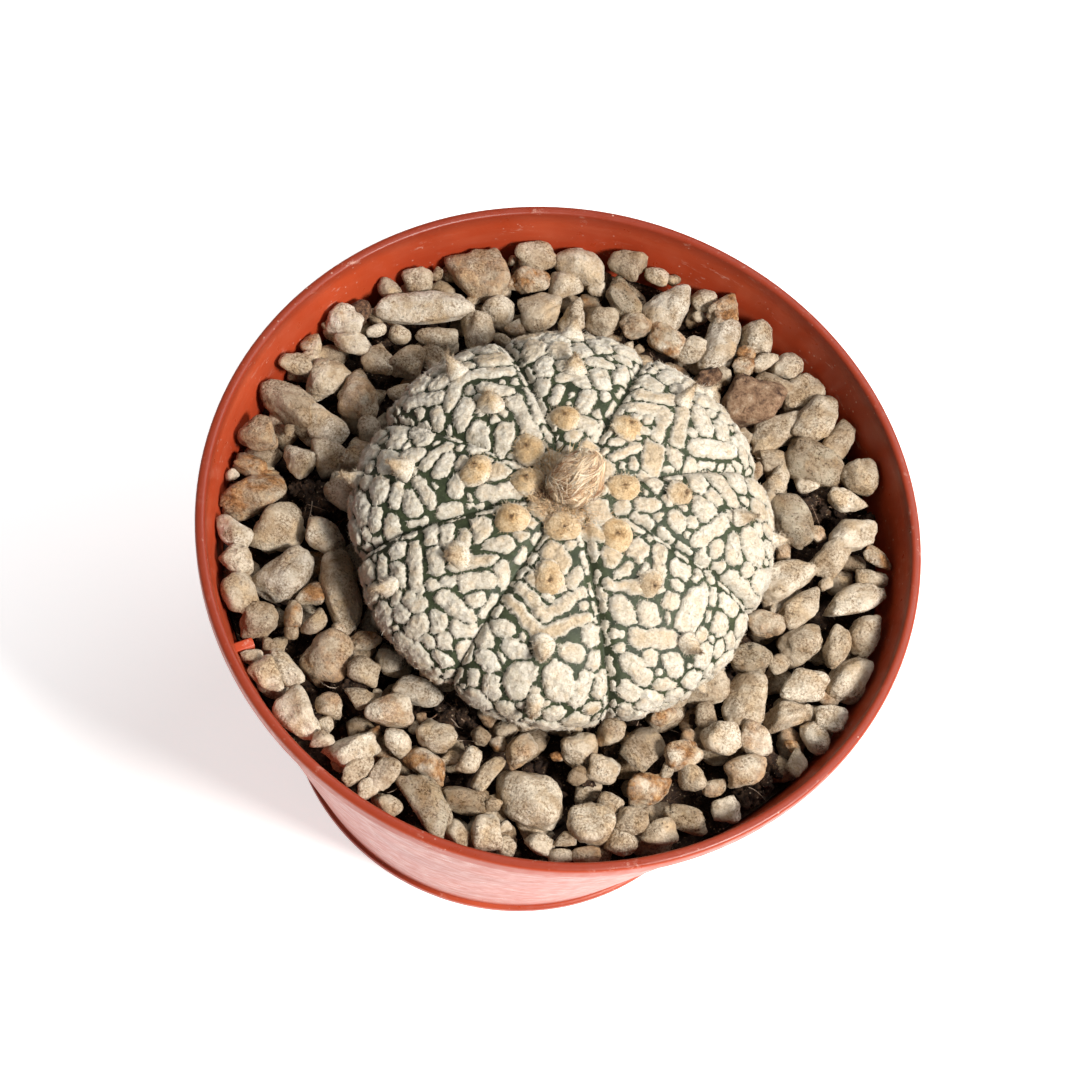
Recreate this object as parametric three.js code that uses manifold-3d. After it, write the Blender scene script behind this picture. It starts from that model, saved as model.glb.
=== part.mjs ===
// Potted star cactus: a flat, ribbed and flecked cactus with a woolly flower bud, in a plastic pot with a
// top dressing of pumice. Millimetres, +Z up, origin at the centre of the pot's foot.

import * as THREE from 'three';
import { mergeVertices } from 'three/addons/utils/BufferGeometryUtils.js';
import { ConvexHull } from 'three/addons/math/ConvexHull.js';
import { ConvexGeometry } from 'three/addons/geometries/ConvexGeometry.js';
import Module from 'manifold-3d';

const wasm = await Module();
wasm.setup();

// ---------------------------------------------------------------- driving dimensions

const CLEARANCE = 0.3;

const POT = {
  height: 84,
  rimRadius: 60,
  rimWidth: 1.8,
  lipHeight: 3.2,
  lipOverhang: 0.7,
  footRadius: 44.3,
  footHeight: 1.8,
  footRingWidth: 3,
  wall: 1.4,
  floorLift: 1.4,
  floorTop: 3,
  sides: 60,
};
const DRAIN = { count: 6, radius: 4, ringRadius: 31, sides: 12 };
const LUG = { azimuth: 218, depth: 3, width: 2.2, height: 3.5, topBelowRim: 7, root: 0.9 };

const MIX = { topBelowRim: 13.5, roughness: 0.5, sides: 36 };
const GRAVEL = {
  bedTopBelowRim: 12.2,
  bedRoughness: 0.4,
  stoneTopBelowRim: 6.2,
  stoneTopSpread: 1.8,
  leastHalfHeight: 3,
  broaden: 1.25,
  fillers: 24,
  corners: 7,
};

const CACTUS = {
  x: 0.2,
  y: -1.5,
  radius: 34.8,
  equatorBelowRim: 0,
  crownRise: 14.3,
  underRise: 16,
  neckRadius: 10,
  rootLength: 36,
  lobe: 1.1,
  creaseDepth: 1.1,
  creaseWidth: 1.1,
};
const FLECK = {
  spacing: 5.6,
  gap: 0.42,
  height: 0.55,
  crown: 0.14,
  lowestArc: 50,
  grooveOffset: 1.75,
  grooveStep: 6,
};
const ARM = { spread: 48, step: 3.6, count: 2, nestedCount: 1, nestedOffset: 4 };
const TUFT = { width: 3.7, height: 1.9, root: 0.9, sides: 6 };
const BUD = { width: 8.6, height: 7.2, seatRadius: 3.4, lean: [1.1, 1.9], sides: 16, rings: 11, scales: 5 };

// Azimuths of the grooves between the ribs, in degrees.
const GROOVES = [31, 80, 123, 166.5, 208, 252.5, 297, 349];

// Areoles of each rib from the crown outwards: azimuth in degrees and arc length from the crown.
const AREOLES = [
  [[20, 8.2], [17, 17.5], [12, 28.5], [12, 39]],
  [[64, 7], [67.5, 15.2], [60.3, 27.4], [60, 38]],
  [[112, 6.6], [110, 13.1], [103, 23.8], [103, 34]],
  [[151.4, 10], [145.2, 20.5], [143.5, 30.3], [143, 40]],
  [[187, 7.5], [184.4, 15.8], [186.1, 27.4], [186, 38]],
  [[224.4, 11.2], [226.8, 21.7], [222.4, 33.7]],
  [[270.5, 7], [271, 15.9], [275, 26.3], [276, 35.6]],
  [[327.5, 10.3], [324, 19.6], [324, 30.9], [324, 41]],
];

// Rings of plain cells on the underside and root: arc length from the neck, and cells round the ring.
const UNDERSIDE_RINGS = [[-14, 22], [-7, 16], [0, 12], [6, 9], [17, 7], [29, 5]];

// The larger stones of the top dressing: x, y, length, width and turn in degrees.
const STONES = [
  [-33.5, 34.9, 17.5, 7, 21], [-26.6, 46, 13, 10.5, -20], [-49.2, 29.6, 7, 6.5, 0],
  [-44.2, 29.6, 7.5, 4, 70], [-42.8, 23.9, 7, 5, 20], [-45.6, 16.4, 8.5, 6.5, 70],
  [-38.9, 15.3, 9.5, 8, 75], [-33.1, 23.9, 7.5, 5.5, 80], [-29.6, 30.3, 8, 5, 0],
  [-28.5, 25.3, 8, 5, -50], [-23.5, 33.9, 9, 5.5, -60], [-13.9, 40.6, 8.5, 6.5, 40],
  [-17, 46.4, 7, 6, 60], [-11, 47.4, 6.5, 5.5, 20], [-18, 52.8, 8.5, 6, 25], [-10, 53, 9, 8, 20],
  [-1.7, 53.9, 7, 6, 0], [7.2, 48.9, 10.5, 8.5, 60], [-0.6, 47.8, 9, 6, -40], [-2.8, 42.8, 6.5, 5.5, 0],
  [9.1, 42.1, 8.5, 6, 0], [17.8, 52.6, 6.5, 5, 40], [17.9, 44.4, 12, 6.8, -85],
  [23.9, 47.4, 7, 5.8, -80], [30.1, 44, 6.5, 5.5, 0], [26.4, 35.7, 11, 9, 10], [35, 41, 8.5, 6, 45],
  [39.2, 36.9, 12, 6.8, 75], [44, 33.5, 8.5, 5, 65], [31.6, 31.2, 11.5, 6, 38],
  [38.8, 26.4, 11.5, 8.5, -20], [47.4, 27.1, 7.5, 6.5, 0], [45.5, 21.1, 6.5, 5, -35],
  [33.9, 21.9, 7.5, 4.5, 60], [47.8, 14.9, 8.5, 6, 20], [37.7, 14.7, 10.5, 7, -55],
  [45.2, 9.5, 9, 6, 50], [38.4, 4.2, 11.5, 6.5, 55], [50.8, 3.5, 11, 5.5, 30], [42.6, -0.4, 9.5, 5, 52],
  [36.9, -5, 7, 5, 0], [43.6, -6.9, 8, 7, 20], [49.4, -5.8, 8, 4.5, 75], [53.6, -1.9, 8, 5.5, 70],
  [53.3, -10.4, 10, 7, 60], [36.1, -11.9, 7, 6, 0], [45.4, -14, 8.5, 5.5, 20],
  [36.5, -19.7, 10.5, 7, -80], [30.4, -19, 7.5, 6, 0], [43.6, -20.4, 7, 6.5, 0], [34.4, -27.2, 7, 6, 0],
  [39.4, -31.5, 7.5, 5.5, 50], [29, -31.5, 6.5, 5, 45], [22.6, -32.2, 9.5, 7.5, 50],
  [12.9, -35.4, 7, 6, 0], [25, -38.6, 7, 6.5, 0], [6.9, -45, 12.5, 9.5, -15], [17.6, -46.9, 8, 7, 30],
  [31.9, -41.9, 8, 4, -10], [3.6, -38.6, 6.5, 4.5, 60], [-9.9, -40.1, 7, 6, 0], [-10.2, -45.3, 8, 5, -5],
  [-2.7, -48.7, 8, 4.5, 5], [-8, -51.2, 13, 6, -45], [1.9, -53.3, 6.5, 5, -60],
  [-0.5, -43.7, 7.5, 3.5, 70], [-18.1, -39, 7.5, 6, 40], [-22.1, -45.7, 8.5, 6.5, 50],
  [-16, -48.7, 6.5, 4.5, 80], [-31.8, -43.3, 9.5, 6.5, -40], [-36.5, -35.8, 8, 4.5, -50],
  [-30.5, -32, 8.5, 8, 0], [-14.7, -33.7, 8.5, 4.5, -5], [-31.5, -21.1, 15.5, 6.5, -65],
  [-41.2, -20.2, 11, 8, 65], [-47, -26.4, 8.5, 6, -65], [-43.1, -29.6, 7, 6, 50],
  [-51.7, -15.9, 7.5, 5, -35], [-44.4, -12.5, 10.5, 8, 75], [-36.9, -12.1, 7, 6.5, 0],
  [-50.8, -8, 12, 7.5, 50], [-36.1, -3.9, 7.5, 5, -30], [-45.2, -0.5, 6.5, 6, 0],
  [-50.3, 9.6, 12, 7, -10], [-42.8, 7.4, 8.5, 7, 0], [-53, 2.4, 7, 6, 0], [-36.4, 3.9, 7.5, 5, 80],
];

// ---------------------------------------------------------------- small helpers

const DEGREE = Math.PI / 180;
const GOLDEN_ANGLE = Math.PI * (3 - Math.sqrt(5));

function seededRandom(seed) {
  let state = seed >>> 0;
  return () => {
    state = (state + 0x6d2b79f5) >>> 0;
    let mixed = Math.imul(state ^ (state >>> 15), state | 1);
    mixed ^= mixed + Math.imul(mixed ^ (mixed >>> 7), mixed | 61);
    return ((mixed ^ (mixed >>> 14)) >>> 0) / 4294967296;
  };
}

function between(random, low, high) {
  return low + (high - low) * random();
}

function smoothStep(value, low, high) {
  const share = Math.min(1, Math.max(0, (value - low) / (high - low)));
  return share * share * (3 - 2 * share);
}

// A closed mesh as a solid that can be joined and cut.
function solidOf(geometry) {
  const bare = new THREE.BufferGeometry();
  bare.setAttribute('position', geometry.getAttribute('position'));
  bare.setIndex(geometry.getIndex());
  const merged = mergeVertices(bare, 1e-4);
  const index = merged.getIndex().array;
  const triangles = [];
  for (let i = 0; i < index.length; i += 3) {
    const [a, b, c] = [index[i], index[i + 1], index[i + 2]];
    if (a !== b && b !== c && c !== a) triangles.push(a, b, c);
  }
  const mesh = new wasm.Mesh({
    numProp: 3,
    vertProperties: new Float32Array(merged.getAttribute('position').array),
    triVerts: new Uint32Array(triangles),
  });
  return new wasm.Manifold(mesh);
}

function geometryOf(solid) {
  const mesh = solid.getMesh();
  const geometry = new THREE.BufferGeometry();
  geometry.setAttribute('position', new THREE.BufferAttribute(mesh.vertProperties, 3));
  geometry.setIndex(new THREE.BufferAttribute(mesh.triVerts, 1));
  return geometry;
}

function joined(solids) {
  return wasm.Manifold.union(solids);
}

// The main body of a solid, without the scraps that a cut may leave.
function largestBody(solid) {
  const bodies = solid.decompose();
  return bodies.reduce((best, body) => (body.volume() > best.volume() ? body : best));
}

// A profile of [radius, height] points turned round the Z axis.
function turned(profile, sides) {
  const points = profile.map(([radius, height]) => new THREE.Vector2(radius, height));
  return new THREE.LatheGeometry(points, sides).rotateX(Math.PI / 2);
}

function part(name, geometry, color, roughness) {
  geometry.computeVertexNormals();
  const material = new THREE.MeshStandardMaterial({ color, roughness, metalness: 0 });
  const mesh = new THREE.Mesh(geometry, material);
  mesh.name = name;
  return mesh;
}

// ---------------------------------------------------------------- pot

const RIM_INNER = POT.rimRadius - POT.rimWidth;
const WALL_FOOT = POT.footRadius - 0.8;
const WALL_TOP = POT.rimRadius - POT.lipOverhang;
const WALL_RISE = POT.height - POT.lipHeight - POT.footHeight;
const TAPER = (WALL_TOP - WALL_FOOT) / WALL_RISE;

// Radius of the pot's inner wall at a height.
function innerWall(height) {
  return WALL_FOOT + TAPER * (height - POT.footHeight) - POT.wall;
}

function potProfile() {
  const edge = 0.5;
  const ledge = POT.height - POT.lipHeight + 0.5;
  return [
    [0, POT.floorLift],
    [POT.footRadius - POT.footRingWidth - 0.4, POT.floorLift],
    [POT.footRadius - POT.footRingWidth, 0],
    [POT.footRadius - 0.3, 0],
    [POT.footRadius, 0.3],
    [POT.footRadius, POT.footHeight - 0.4],
    [WALL_FOOT, POT.footHeight],
    [WALL_TOP, POT.height - POT.lipHeight],
    [POT.rimRadius, POT.height - POT.lipHeight],
    [POT.rimRadius, POT.height - edge],
    [POT.rimRadius - edge, POT.height],
    [RIM_INNER, POT.height],
    [RIM_INNER - 0.2, ledge],
    [innerWall(ledge), ledge - 0.5],
    [innerWall(POT.floorTop + 1.5), POT.floorTop + 1.5],
    [innerWall(POT.floorTop + 1.5) - 1.5, POT.floorTop],
    [0, POT.floorTop],
  ];
}

// The small moulded lug on the inner wall, rooted in the wall and grown by a margin on its free sides.
function lug(margin) {
  const top = POT.height - LUG.topBelowRim;
  const wallRadius = innerWall(top - LUG.height);
  const outer = wallRadius + LUG.root;
  const inner = wallRadius - LUG.depth - margin;
  const block = new THREE.BoxGeometry(outer - inner, LUG.width + 2 * margin, LUG.height + 2 * margin);
  block.translate((outer + inner) / 2, 0, top - LUG.height / 2);
  return solidOf(block.rotateZ(LUG.azimuth * DEGREE));
}

function drainHoles() {
  const holes = [];
  for (let i = 0; i < DRAIN.count; i += 1) {
    const azimuth = ((i + 0.5) * 360 * DEGREE) / DRAIN.count;
    const hole = new THREE.CylinderGeometry(DRAIN.radius, DRAIN.radius, POT.floorTop * 3, DRAIN.sides);
    hole.rotateX(Math.PI / 2);
    hole.translate(DRAIN.ringRadius * Math.cos(azimuth), DRAIN.ringRadius * Math.sin(azimuth), 0);
    holes.push(solidOf(hole));
  }
  return joined(holes);
}

function makePot() {
  const shell = solidOf(turned(potProfile(), POT.sides));
  return geometryOf(shell.add(lug(0)).subtract(drainHoles()));
}

// ---------------------------------------------------------------- the cactus's smooth form

const EQUATOR = POT.height - CACTUS.equatorBelowRim;
const CROWN = EQUATOR + CACTUS.crownRise;
const NECK_ANGLE = Math.PI - Math.asin(CACTUS.neckRadius / CACTUS.radius);
const NECK_HEIGHT = EQUATOR + CACTUS.underRise * Math.cos(NECK_ANGLE);
const BODY_STEPS = 240;
const ROOT_STEPS = 40;

// The meridian from the crown, over the equator and the neck, to the tip of the taproot.
function meridian() {
  const points = [];
  for (let i = 0; i <= BODY_STEPS; i += 1) {
    const angle = (NECK_ANGLE * i) / BODY_STEPS;
    const rise = angle < Math.PI / 2 ? CACTUS.crownRise : CACTUS.underRise;
    points.push([CACTUS.radius * Math.sin(angle), EQUATOR + rise * Math.cos(angle)]);
  }
  for (let i = 1; i <= ROOT_STEPS; i += 1) {
    const share = i / ROOT_STEPS;
    points.push([CACTUS.neckRadius * (1 - share) ** 0.7, NECK_HEIGHT - CACTUS.rootLength * share]);
  }
  return points;
}

const MERIDIAN = meridian();
const ARCS = [0];
for (let i = 1; i < MERIDIAN.length; i += 1) {
  const [r0, z0] = MERIDIAN[i - 1];
  const [r1, z1] = MERIDIAN[i];
  ARCS.push(ARCS[i - 1] + Math.hypot(r1 - r0, z1 - z0));
}
const TIP_ARC = ARCS[ARCS.length - 1];
const NECK_ARC = ARCS[BODY_STEPS];

// Radius, height and outward direction of the meridian at an arc length from the crown.
function onMeridian(arc) {
  let low = 0;
  let high = ARCS.length - 1;
  while (high - low > 1) {
    const middle = (low + high) >> 1;
    if (ARCS[middle] > arc) high = middle;
    else low = middle;
  }
  const span = ARCS[high] - ARCS[low];
  const share = Math.min(1, Math.max(0, (arc - ARCS[low]) / span));
  const [r0, z0] = MERIDIAN[low];
  const [r1, z1] = MERIDIAN[high];
  return {
    radius: r0 + (r1 - r0) * share,
    height: z0 + (z1 - z0) * share,
    outward: [(z0 - z1) / span, (r1 - r0) / span],
  };
}

// The groove just before an azimuth, and the share of the way to the next one.
function ribPlace(azimuth) {
  const turn = ((azimuth % 360) + 360) % 360;
  for (let i = 0; i < GROOVES.length; i += 1) {
    const start = GROOVES[i];
    const width = (GROOVES[(i + 1) % GROOVES.length] - start + 360) % 360;
    const offset = (turn - start + 360) % 360;
    if (offset < width) return { offset, width, share: offset / width };
  }
  return { offset: 0, width: 45, share: 0 };
}

// A point on the ribbed skin, raised by a height, with the plant's axis on Z.
function skinPoint(azimuth, arc, raise = 0) {
  const { radius, height, outward } = onMeridian(arc);
  const { offset, width, share } = ribPlace(azimuth);
  const fade = smoothStep(arc, 2, 34) * (1 - smoothStep(arc, 46, 64));
  const creaseFade = smoothStep(arc, 3, 9) * (1 - smoothStep(arc, 50, 60));
  const away = Math.min(offset, width - offset) * DEGREE * radius;
  const lobe = CACTUS.lobe * (Math.sin(Math.PI * share) ** 0.7 - 0.65) * fade;
  const crease = CACTUS.creaseDepth * Math.exp(-((away / CACTUS.creaseWidth) ** 2)) * creaseFade;
  const lift = lobe - crease + raise;
  const ring = radius + outward[0] * lift;
  const turn = azimuth * DEGREE;
  return new THREE.Vector3(ring * Math.cos(turn), ring * Math.sin(turn), height + outward[1] * lift);
}

// ---------------------------------------------------------------- felt flecks

// Polar angle on a guide sphere for an arc length: even on the dome, compressed below it.
const GUIDE_RADIUS = 42.5;
const GUIDE_BREAK = 56;

function guideAngle(arc) {
  if (arc < GUIDE_BREAK) return arc / GUIDE_RADIUS;
  const start = GUIDE_BREAK / GUIDE_RADIUS;
  return start + ((Math.PI - start) * (arc - GUIDE_BREAK)) / (TIP_ARC - GUIDE_BREAK);
}

function arcOfGuide(angle) {
  const start = GUIDE_BREAK / GUIDE_RADIUS;
  if (angle < start) return angle * GUIDE_RADIUS;
  return GUIDE_BREAK + ((angle - start) * (TIP_ARC - GUIDE_BREAK)) / (Math.PI - start);
}

function guidePoint(azimuth, arc) {
  const polar = guideAngle(arc);
  const turn = azimuth * DEGREE;
  return new THREE.Vector3(
    Math.sin(polar) * Math.cos(turn), Math.sin(polar) * Math.sin(turn), Math.cos(polar));
}

function fromGuide(direction) {
  const unit = direction.clone().normalize();
  const arc = arcOfGuide(Math.acos(Math.min(1, Math.max(-1, unit.z))));
  return { azimuth: Math.atan2(unit.y, unit.x) / DEGREE, arc };
}

// Seeds of the flecks: each has a place, a group that its fleck is joined with, and a raised flag.
function fleckSeeds() {
  const random = seededRandom(7);
  const seeds = [];
  let groups = 0;

  function add(azimuth, arc, group, raised) {
    seeds.push({ azimuth, arc, group, raised, point: skinPoint(azimuth, arc) });
  }

  function clear(azimuth, arc, distance) {
    const point = skinPoint(azimuth, arc);
    return seeds.every((seed) => seed.point.distanceTo(point) > distance);
  }

  // A felt V that opens towards the crown, from its vertex on the rib.
  function addChevron(azimuth, arc, count) {
    groups += 1;
    add(azimuth, arc, groups, true);
    for (const side of [-1, 1]) {
      for (let i = 1; i <= count; i += 1) {
        const reach = i * ARM.step;
        const armArc = arc - reach * Math.cos(ARM.spread * DEGREE);
        const sideways = (side * reach * Math.sin(ARM.spread * DEGREE)) / onMeridian(armArc).radius;
        const armAzimuth = azimuth + sideways / DEGREE;
        if (clear(armAzimuth, armArc, ARM.step * 0.6)) add(armAzimuth, armArc, groups, true);
      }
    }
  }

  add(0, 0, 0, false);
  for (let i = 0; i < 6; i += 1) add(i * 60 + 20, 2.9, 0, false);
  for (const rib of AREOLES) {
    rib.forEach(([azimuth, arc], order) => {
      if (order === 0) {
        groups += 1;
        add(azimuth, arc, groups, true);
      } else {
        addChevron(azimuth, arc, ARM.count);
      }
    });
    for (const [azimuth, arc] of rib.slice(1)) addChevron(azimuth, arc - ARM.nestedOffset, ARM.nestedCount);
  }
  for (const groove of GROOVES) {
    for (let arc = 8; arc < FLECK.lowestArc + 4; arc += FLECK.grooveStep) {
      const offset = FLECK.grooveOffset / onMeridian(arc).radius / DEGREE;
      const sides = [groove - offset, groove + offset];
      if (sides.every((azimuth) => clear(azimuth, arc, FLECK.grooveOffset * 1.3))) {
        for (const azimuth of sides) {
          groups += 1;
          add(azimuth, arc, groups, arc < FLECK.lowestArc);
        }
      }
    }
  }
  for (let tries = 0; tries < 9000; tries += 1) {
    const arc = Math.sqrt(random()) * (FLECK.lowestArc + 5);
    const azimuth = random() * 360;
    const distance = FLECK.spacing * (0.8 + 0.2 * smoothStep(arc, 4, 20));
    if (arc > 4.5 && clear(azimuth, arc, distance)) {
      groups += 1;
      add(azimuth, arc, groups, arc < FLECK.lowestArc);
    }
  }
  for (const [fromNeck, count] of UNDERSIDE_RINGS) {
    for (let i = 0; i < count; i += 1) {
      const azimuth = ((i + between(random, -0.1, 0.1)) * 360) / count;
      add(azimuth, NECK_ARC + fromNeck + between(random, -0.4, 0.4), 0, false);
    }
  }
  add(0, TIP_ARC, 0, false);
  return seeds;
}

// Faces of the seeds' network on the guide sphere: each is three seeds and the direction of its corner.
function seedNetwork(seeds) {
  const points = seeds.map((seed) => guidePoint(seed.azimuth, seed.arc));
  const order = new Map(points.map((point, i) => [point, i]));
  const hull = new ConvexHull().setFromPoints(points);
  return hull.faces.map((face) => {
    const corners = [];
    let edge = face.edge;
    do {
      corners.push(order.get(edge.head().point));
      edge = edge.next;
    } while (edge !== face.edge);
    return { seeds: corners, direction: face.normal.clone() };
  });
}

// The faces round each seed, in order, anticlockwise as seen from outside.
function cellsOf(seeds, faces) {
  const nextFace = seeds.map(() => new Map());
  faces.forEach((face, number) => {
    face.seeds.forEach((seed, i) => {
      const after = face.seeds[(i + 1) % 3];
      const before = face.seeds[(i + 2) % 3];
      nextFace[seed].set(after, { face: number, before });
    });
  });
  return nextFace.map((links) => {
    const start = links.keys().next().value;
    const cell = [];
    let neighbour = start;
    do {
      const link = links.get(neighbour);
      cell.push({ face: link.face, from: neighbour, to: link.before });
      neighbour = link.before;
    } while (neighbour !== start);
    return cell;
  });
}

// The flecked skin: each seed's cell is a raised plateau with sloping sides down to its dark border.
function fleckedSkin() {
  const random = seededRandom(21);
  const seeds = fleckSeeds();
  const faces = seedNetwork(seeds);
  const cells = cellsOf(seeds, faces);
  const positions = [];
  const triangles = [];
  const known = new Map();

  function vertex(key, make) {
    if (!known.has(key)) {
      const point = make();
      known.set(key, positions.length / 3);
      positions.push(point.x, point.y, point.z);
    }
    return known.get(key);
  }

  function raisedPoint(direction, raise) {
    const { azimuth, arc } = fromGuide(direction);
    return skinPoint(azimuth, arc, raise);
  }

  const same = (a, b) => seeds[a].raised && seeds[b].raised && seeds[a].group === seeds[b].group;
  const lowCorner = (face) => vertex(`low ${face}`, () => raisedPoint(faces[face].direction, 0));
  const heights = seeds.map(() => FLECK.height * between(random, 0.8, 1.15));

  // The plateau's corner in one cell, next to the border corner shared by three cells.
  function plateauCorner(seed, corner) {
    const { face, from, to } = corner;
    const direction = faces[face].direction;
    if (same(seed, from) && same(seed, to)) {
      return vertex(`top ${face}`, () => raisedPoint(direction, FLECK.height));
    }
    if (same(seed, from) || same(seed, to)) {
      const partner = same(seed, from) ? from : to;
      const key = [Math.min(seed, partner), Math.max(seed, partner), face].join(' ');
      return vertex(`joint ${key}`, () => {
        const middle = guidePoint(seeds[seed].azimuth, seeds[seed].arc);
        middle.add(guidePoint(seeds[partner].azimuth, seeds[partner].arc)).normalize();
        return raisedPoint(direction.clone().normalize().lerp(middle, 0.3), FLECK.height);
      });
    }
    return vertex(`corner ${seed} ${face}`, () => {
      const own = guidePoint(seeds[seed].azimuth, seeds[seed].arc);
      const unit = direction.clone().normalize();
      const inset = Math.min(0.5, (1.6 * FLECK.gap) / (unit.distanceTo(own) * GUIDE_RADIUS));
      return raisedPoint(unit.lerp(own, inset), heights[seed]);
    });
  }

  seeds.forEach((seed, number) => {
    const cell = cells[number];
    const raise = seed.raised ? heights[number] + FLECK.crown : 0;
    const centre = vertex(`centre ${number}`, () => skinPoint(seed.azimuth, seed.arc, raise));
    cell.forEach((corner, i) => {
      const next = cell[(i + 1) % cell.length];
      if (!seed.raised) {
        triangles.push(centre, lowCorner(corner.face), lowCorner(next.face));
        return;
      }
      const here = plateauCorner(number, corner);
      const there = plateauCorner(number, next);
      triangles.push(centre, here, there);
      if (!same(number, corner.to)) {
        const lowHere = lowCorner(corner.face);
        const lowThere = lowCorner(next.face);
        triangles.push(here, lowHere, lowThere, here, lowThere, there);
      }
    });
  });
  const geometry = new THREE.BufferGeometry();
  geometry.setAttribute('position', new THREE.Float32BufferAttribute(positions, 3));
  geometry.setIndex(triangles);
  return geometry;
}

// ---------------------------------------------------------------- cactus and bud

// A felt tuft that stands on the skin at an areole; the outer ones are slimmer and more pointed.
function areoleTuft(azimuth, arc) {
  const outer = smoothStep(arc, 18, 36);
  const half = (TUFT.width / 2) * (1 - 0.35 * outer);
  const top = TUFT.height * (1 + 0.35 * outer) + FLECK.height;
  const profile = [
    [0, -TUFT.root],
    [half, -TUFT.root],
    [half, FLECK.height],
    [half * 0.62, top * 0.8],
    [0, top],
  ];
  const tuft = turned(profile, TUFT.sides);
  const base = skinPoint(azimuth, arc);
  const { outward } = onMeridian(arc);
  const turn = azimuth * DEGREE;
  const axis = new THREE.Vector3(outward[0] * Math.cos(turn), outward[0] * Math.sin(turn), outward[1]);
  const pose = new THREE.Quaternion().setFromUnitVectors(new THREE.Vector3(0, 0, 1), axis.normalize());
  return solidOf(tuft.applyQuaternion(pose).translate(base.x, base.y, base.z));
}

function makeCactus() {
  const tufts = AREOLES.flat().map(([azimuth, arc]) => areoleTuft(azimuth, arc));
  return geometryOf(largestBody(joined([solidOf(fleckedSkin()), ...tufts])));
}

// The bud: overlapping woolly scales round a core that leans and ends in a tip.
function makeBud() {
  const profile = [];
  const seat = CROWN + CLEARANCE;
  profile.push([0, 0]);
  for (let i = 0; i <= BUD.rings; i += 1) {
    const share = i / BUD.rings;
    const swell = Math.sin(Math.PI * Math.min(1, 0.22 + 0.78 * share)) ** 0.75;
    const radius = i === BUD.rings ? 0 : Math.max((BUD.width / 2) * swell, BUD.seatRadius * (1 - 3 * share));
    profile.push([radius, BUD.height * share]);
  }
  const bud = turned(profile, BUD.sides);
  const place = bud.getAttribute('position');
  for (let i = 0; i < place.count; i += 1) {
    const [x, y, z] = [place.getX(i), place.getY(i), place.getZ(i)];
    const share = z / BUD.height;
    const turn = Math.atan2(y, x);
    const scale = 1 + 0.09 * Math.sin(BUD.scales * turn + 9 * share) * Math.sin(Math.PI * share);
    place.setXYZ(i, x * scale + BUD.lean[0] * share ** 2, y * scale + BUD.lean[1] * share ** 2, z + seat);
  }
  return geometryOf(solidOf(bud));
}

// ---------------------------------------------------------------- potting mix and pumice

// The outer reach of the plant below its equator, as a turned solid with a clearance all round.
function plantEnvelope(clearance, sides) {
  const profile = [[0, NECK_HEIGHT - CACTUS.rootLength - clearance]];
  for (let i = MERIDIAN.length - 1; i > BODY_STEPS; i -= ROOT_STEPS / 8) {
    const [radius, height] = MERIDIAN[i];
    if (height < NECK_HEIGHT - 2 * clearance) profile.push([radius + clearance, height]);
  }
  profile.push([CACTUS.neckRadius + clearance, NECK_HEIGHT - clearance]);
  for (let i = BODY_STEPS; MERIDIAN[i][1] < EQUATOR; i -= 8) {
    const { radius, height, outward } = onMeridian(ARCS[i]);
    if (radius > CACTUS.neckRadius + 2 * clearance) {
      profile.push([radius + outward[0] * clearance, height + outward[1] * clearance]);
    }
  }
  const widest = CACTUS.radius + clearance;
  const above = POT.height + 20;
  profile.push([widest, EQUATOR], [widest, above], [0, above]);
  return solidOf(turned(profile, sides)).translate([CACTUS.x, CACTUS.y, 0]);
}

// Depth of the small hollows in a loose surface, from 0 to 1.
function hollow(x, y) {
  const across = Math.sin(0.47 * x + 1.9 * Math.sin(0.21 * y));
  const along = Math.cos(0.53 * y + 1.3 * Math.sin(0.3 * x));
  return 0.5 + 0.5 * across * along;
}

// A solid that fills the pot between two heights, clear of the wall, with a rough top.
function potFilling(bottom, top, rings, sides, roughness) {
  const edge = innerWall(top) - CLEARANCE;
  const profile = [[0, bottom], [innerWall(bottom) - CLEARANCE, bottom]];
  for (let i = rings; i >= 0; i -= 1) profile.push([(edge * i) / rings, top]);
  const filling = turned(profile, sides);
  const place = filling.getAttribute('position');
  for (let i = 0; i < place.count; i += 1) {
    const [x, y, z] = [place.getX(i), place.getY(i), place.getZ(i)];
    if (z > top - 0.01 && Math.hypot(x, y) < edge - 0.1) place.setZ(i, z - roughness * hollow(x, y));
  }
  return solidOf(filling);
}

const MIX_TOP = POT.height - MIX.topBelowRim;
const BED_TOP = POT.height - GRAVEL.bedTopBelowRim;

function makeMix() {
  const bottom = POT.floorTop + 1.5 + CLEARANCE;
  const filling = potFilling(bottom, MIX_TOP, 3, MIX.sides, MIX.roughness);
  return geometryOf(largestBody(filling.subtract(plantEnvelope(1.3, MIX.sides))));
}

// An irregular pebble with flat facets: corners spread evenly round a ball, pulled about and flattened.
function pumiceStone(x, y, length, width, turn, top, random) {
  const half = Math.max(GRAVEL.leastHalfHeight, width * 0.44);
  const corners = [];
  for (let i = 0; i < GRAVEL.corners; i += 1) {
    const rise = 1 - (2 * i + 1) / GRAVEL.corners;
    const azimuth = i * GOLDEN_ANGLE + random() * 0.7;
    const ring = Math.sqrt(1 - rise * rise);
    const corner = new THREE.Vector3(ring * Math.cos(azimuth), ring * Math.sin(azimuth), rise);
    corners.push(corner.multiplyScalar(between(random, 0.88, 1.12)));
  }
  const stone = new ConvexGeometry(corners);
  stone.rotateX(random() * Math.PI).rotateY(random() * Math.PI).center();
  stone.computeBoundingBox();
  const reach = stone.boundingBox.max;
  const broad = GRAVEL.broaden / 2;
  stone.scale((broad * length) / reach.x, (broad * width) / reach.y, half / reach.z);
  stone.rotateZ(turn * DEGREE).translate(x, y, top - half);
  return solidOf(stone);
}

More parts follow.
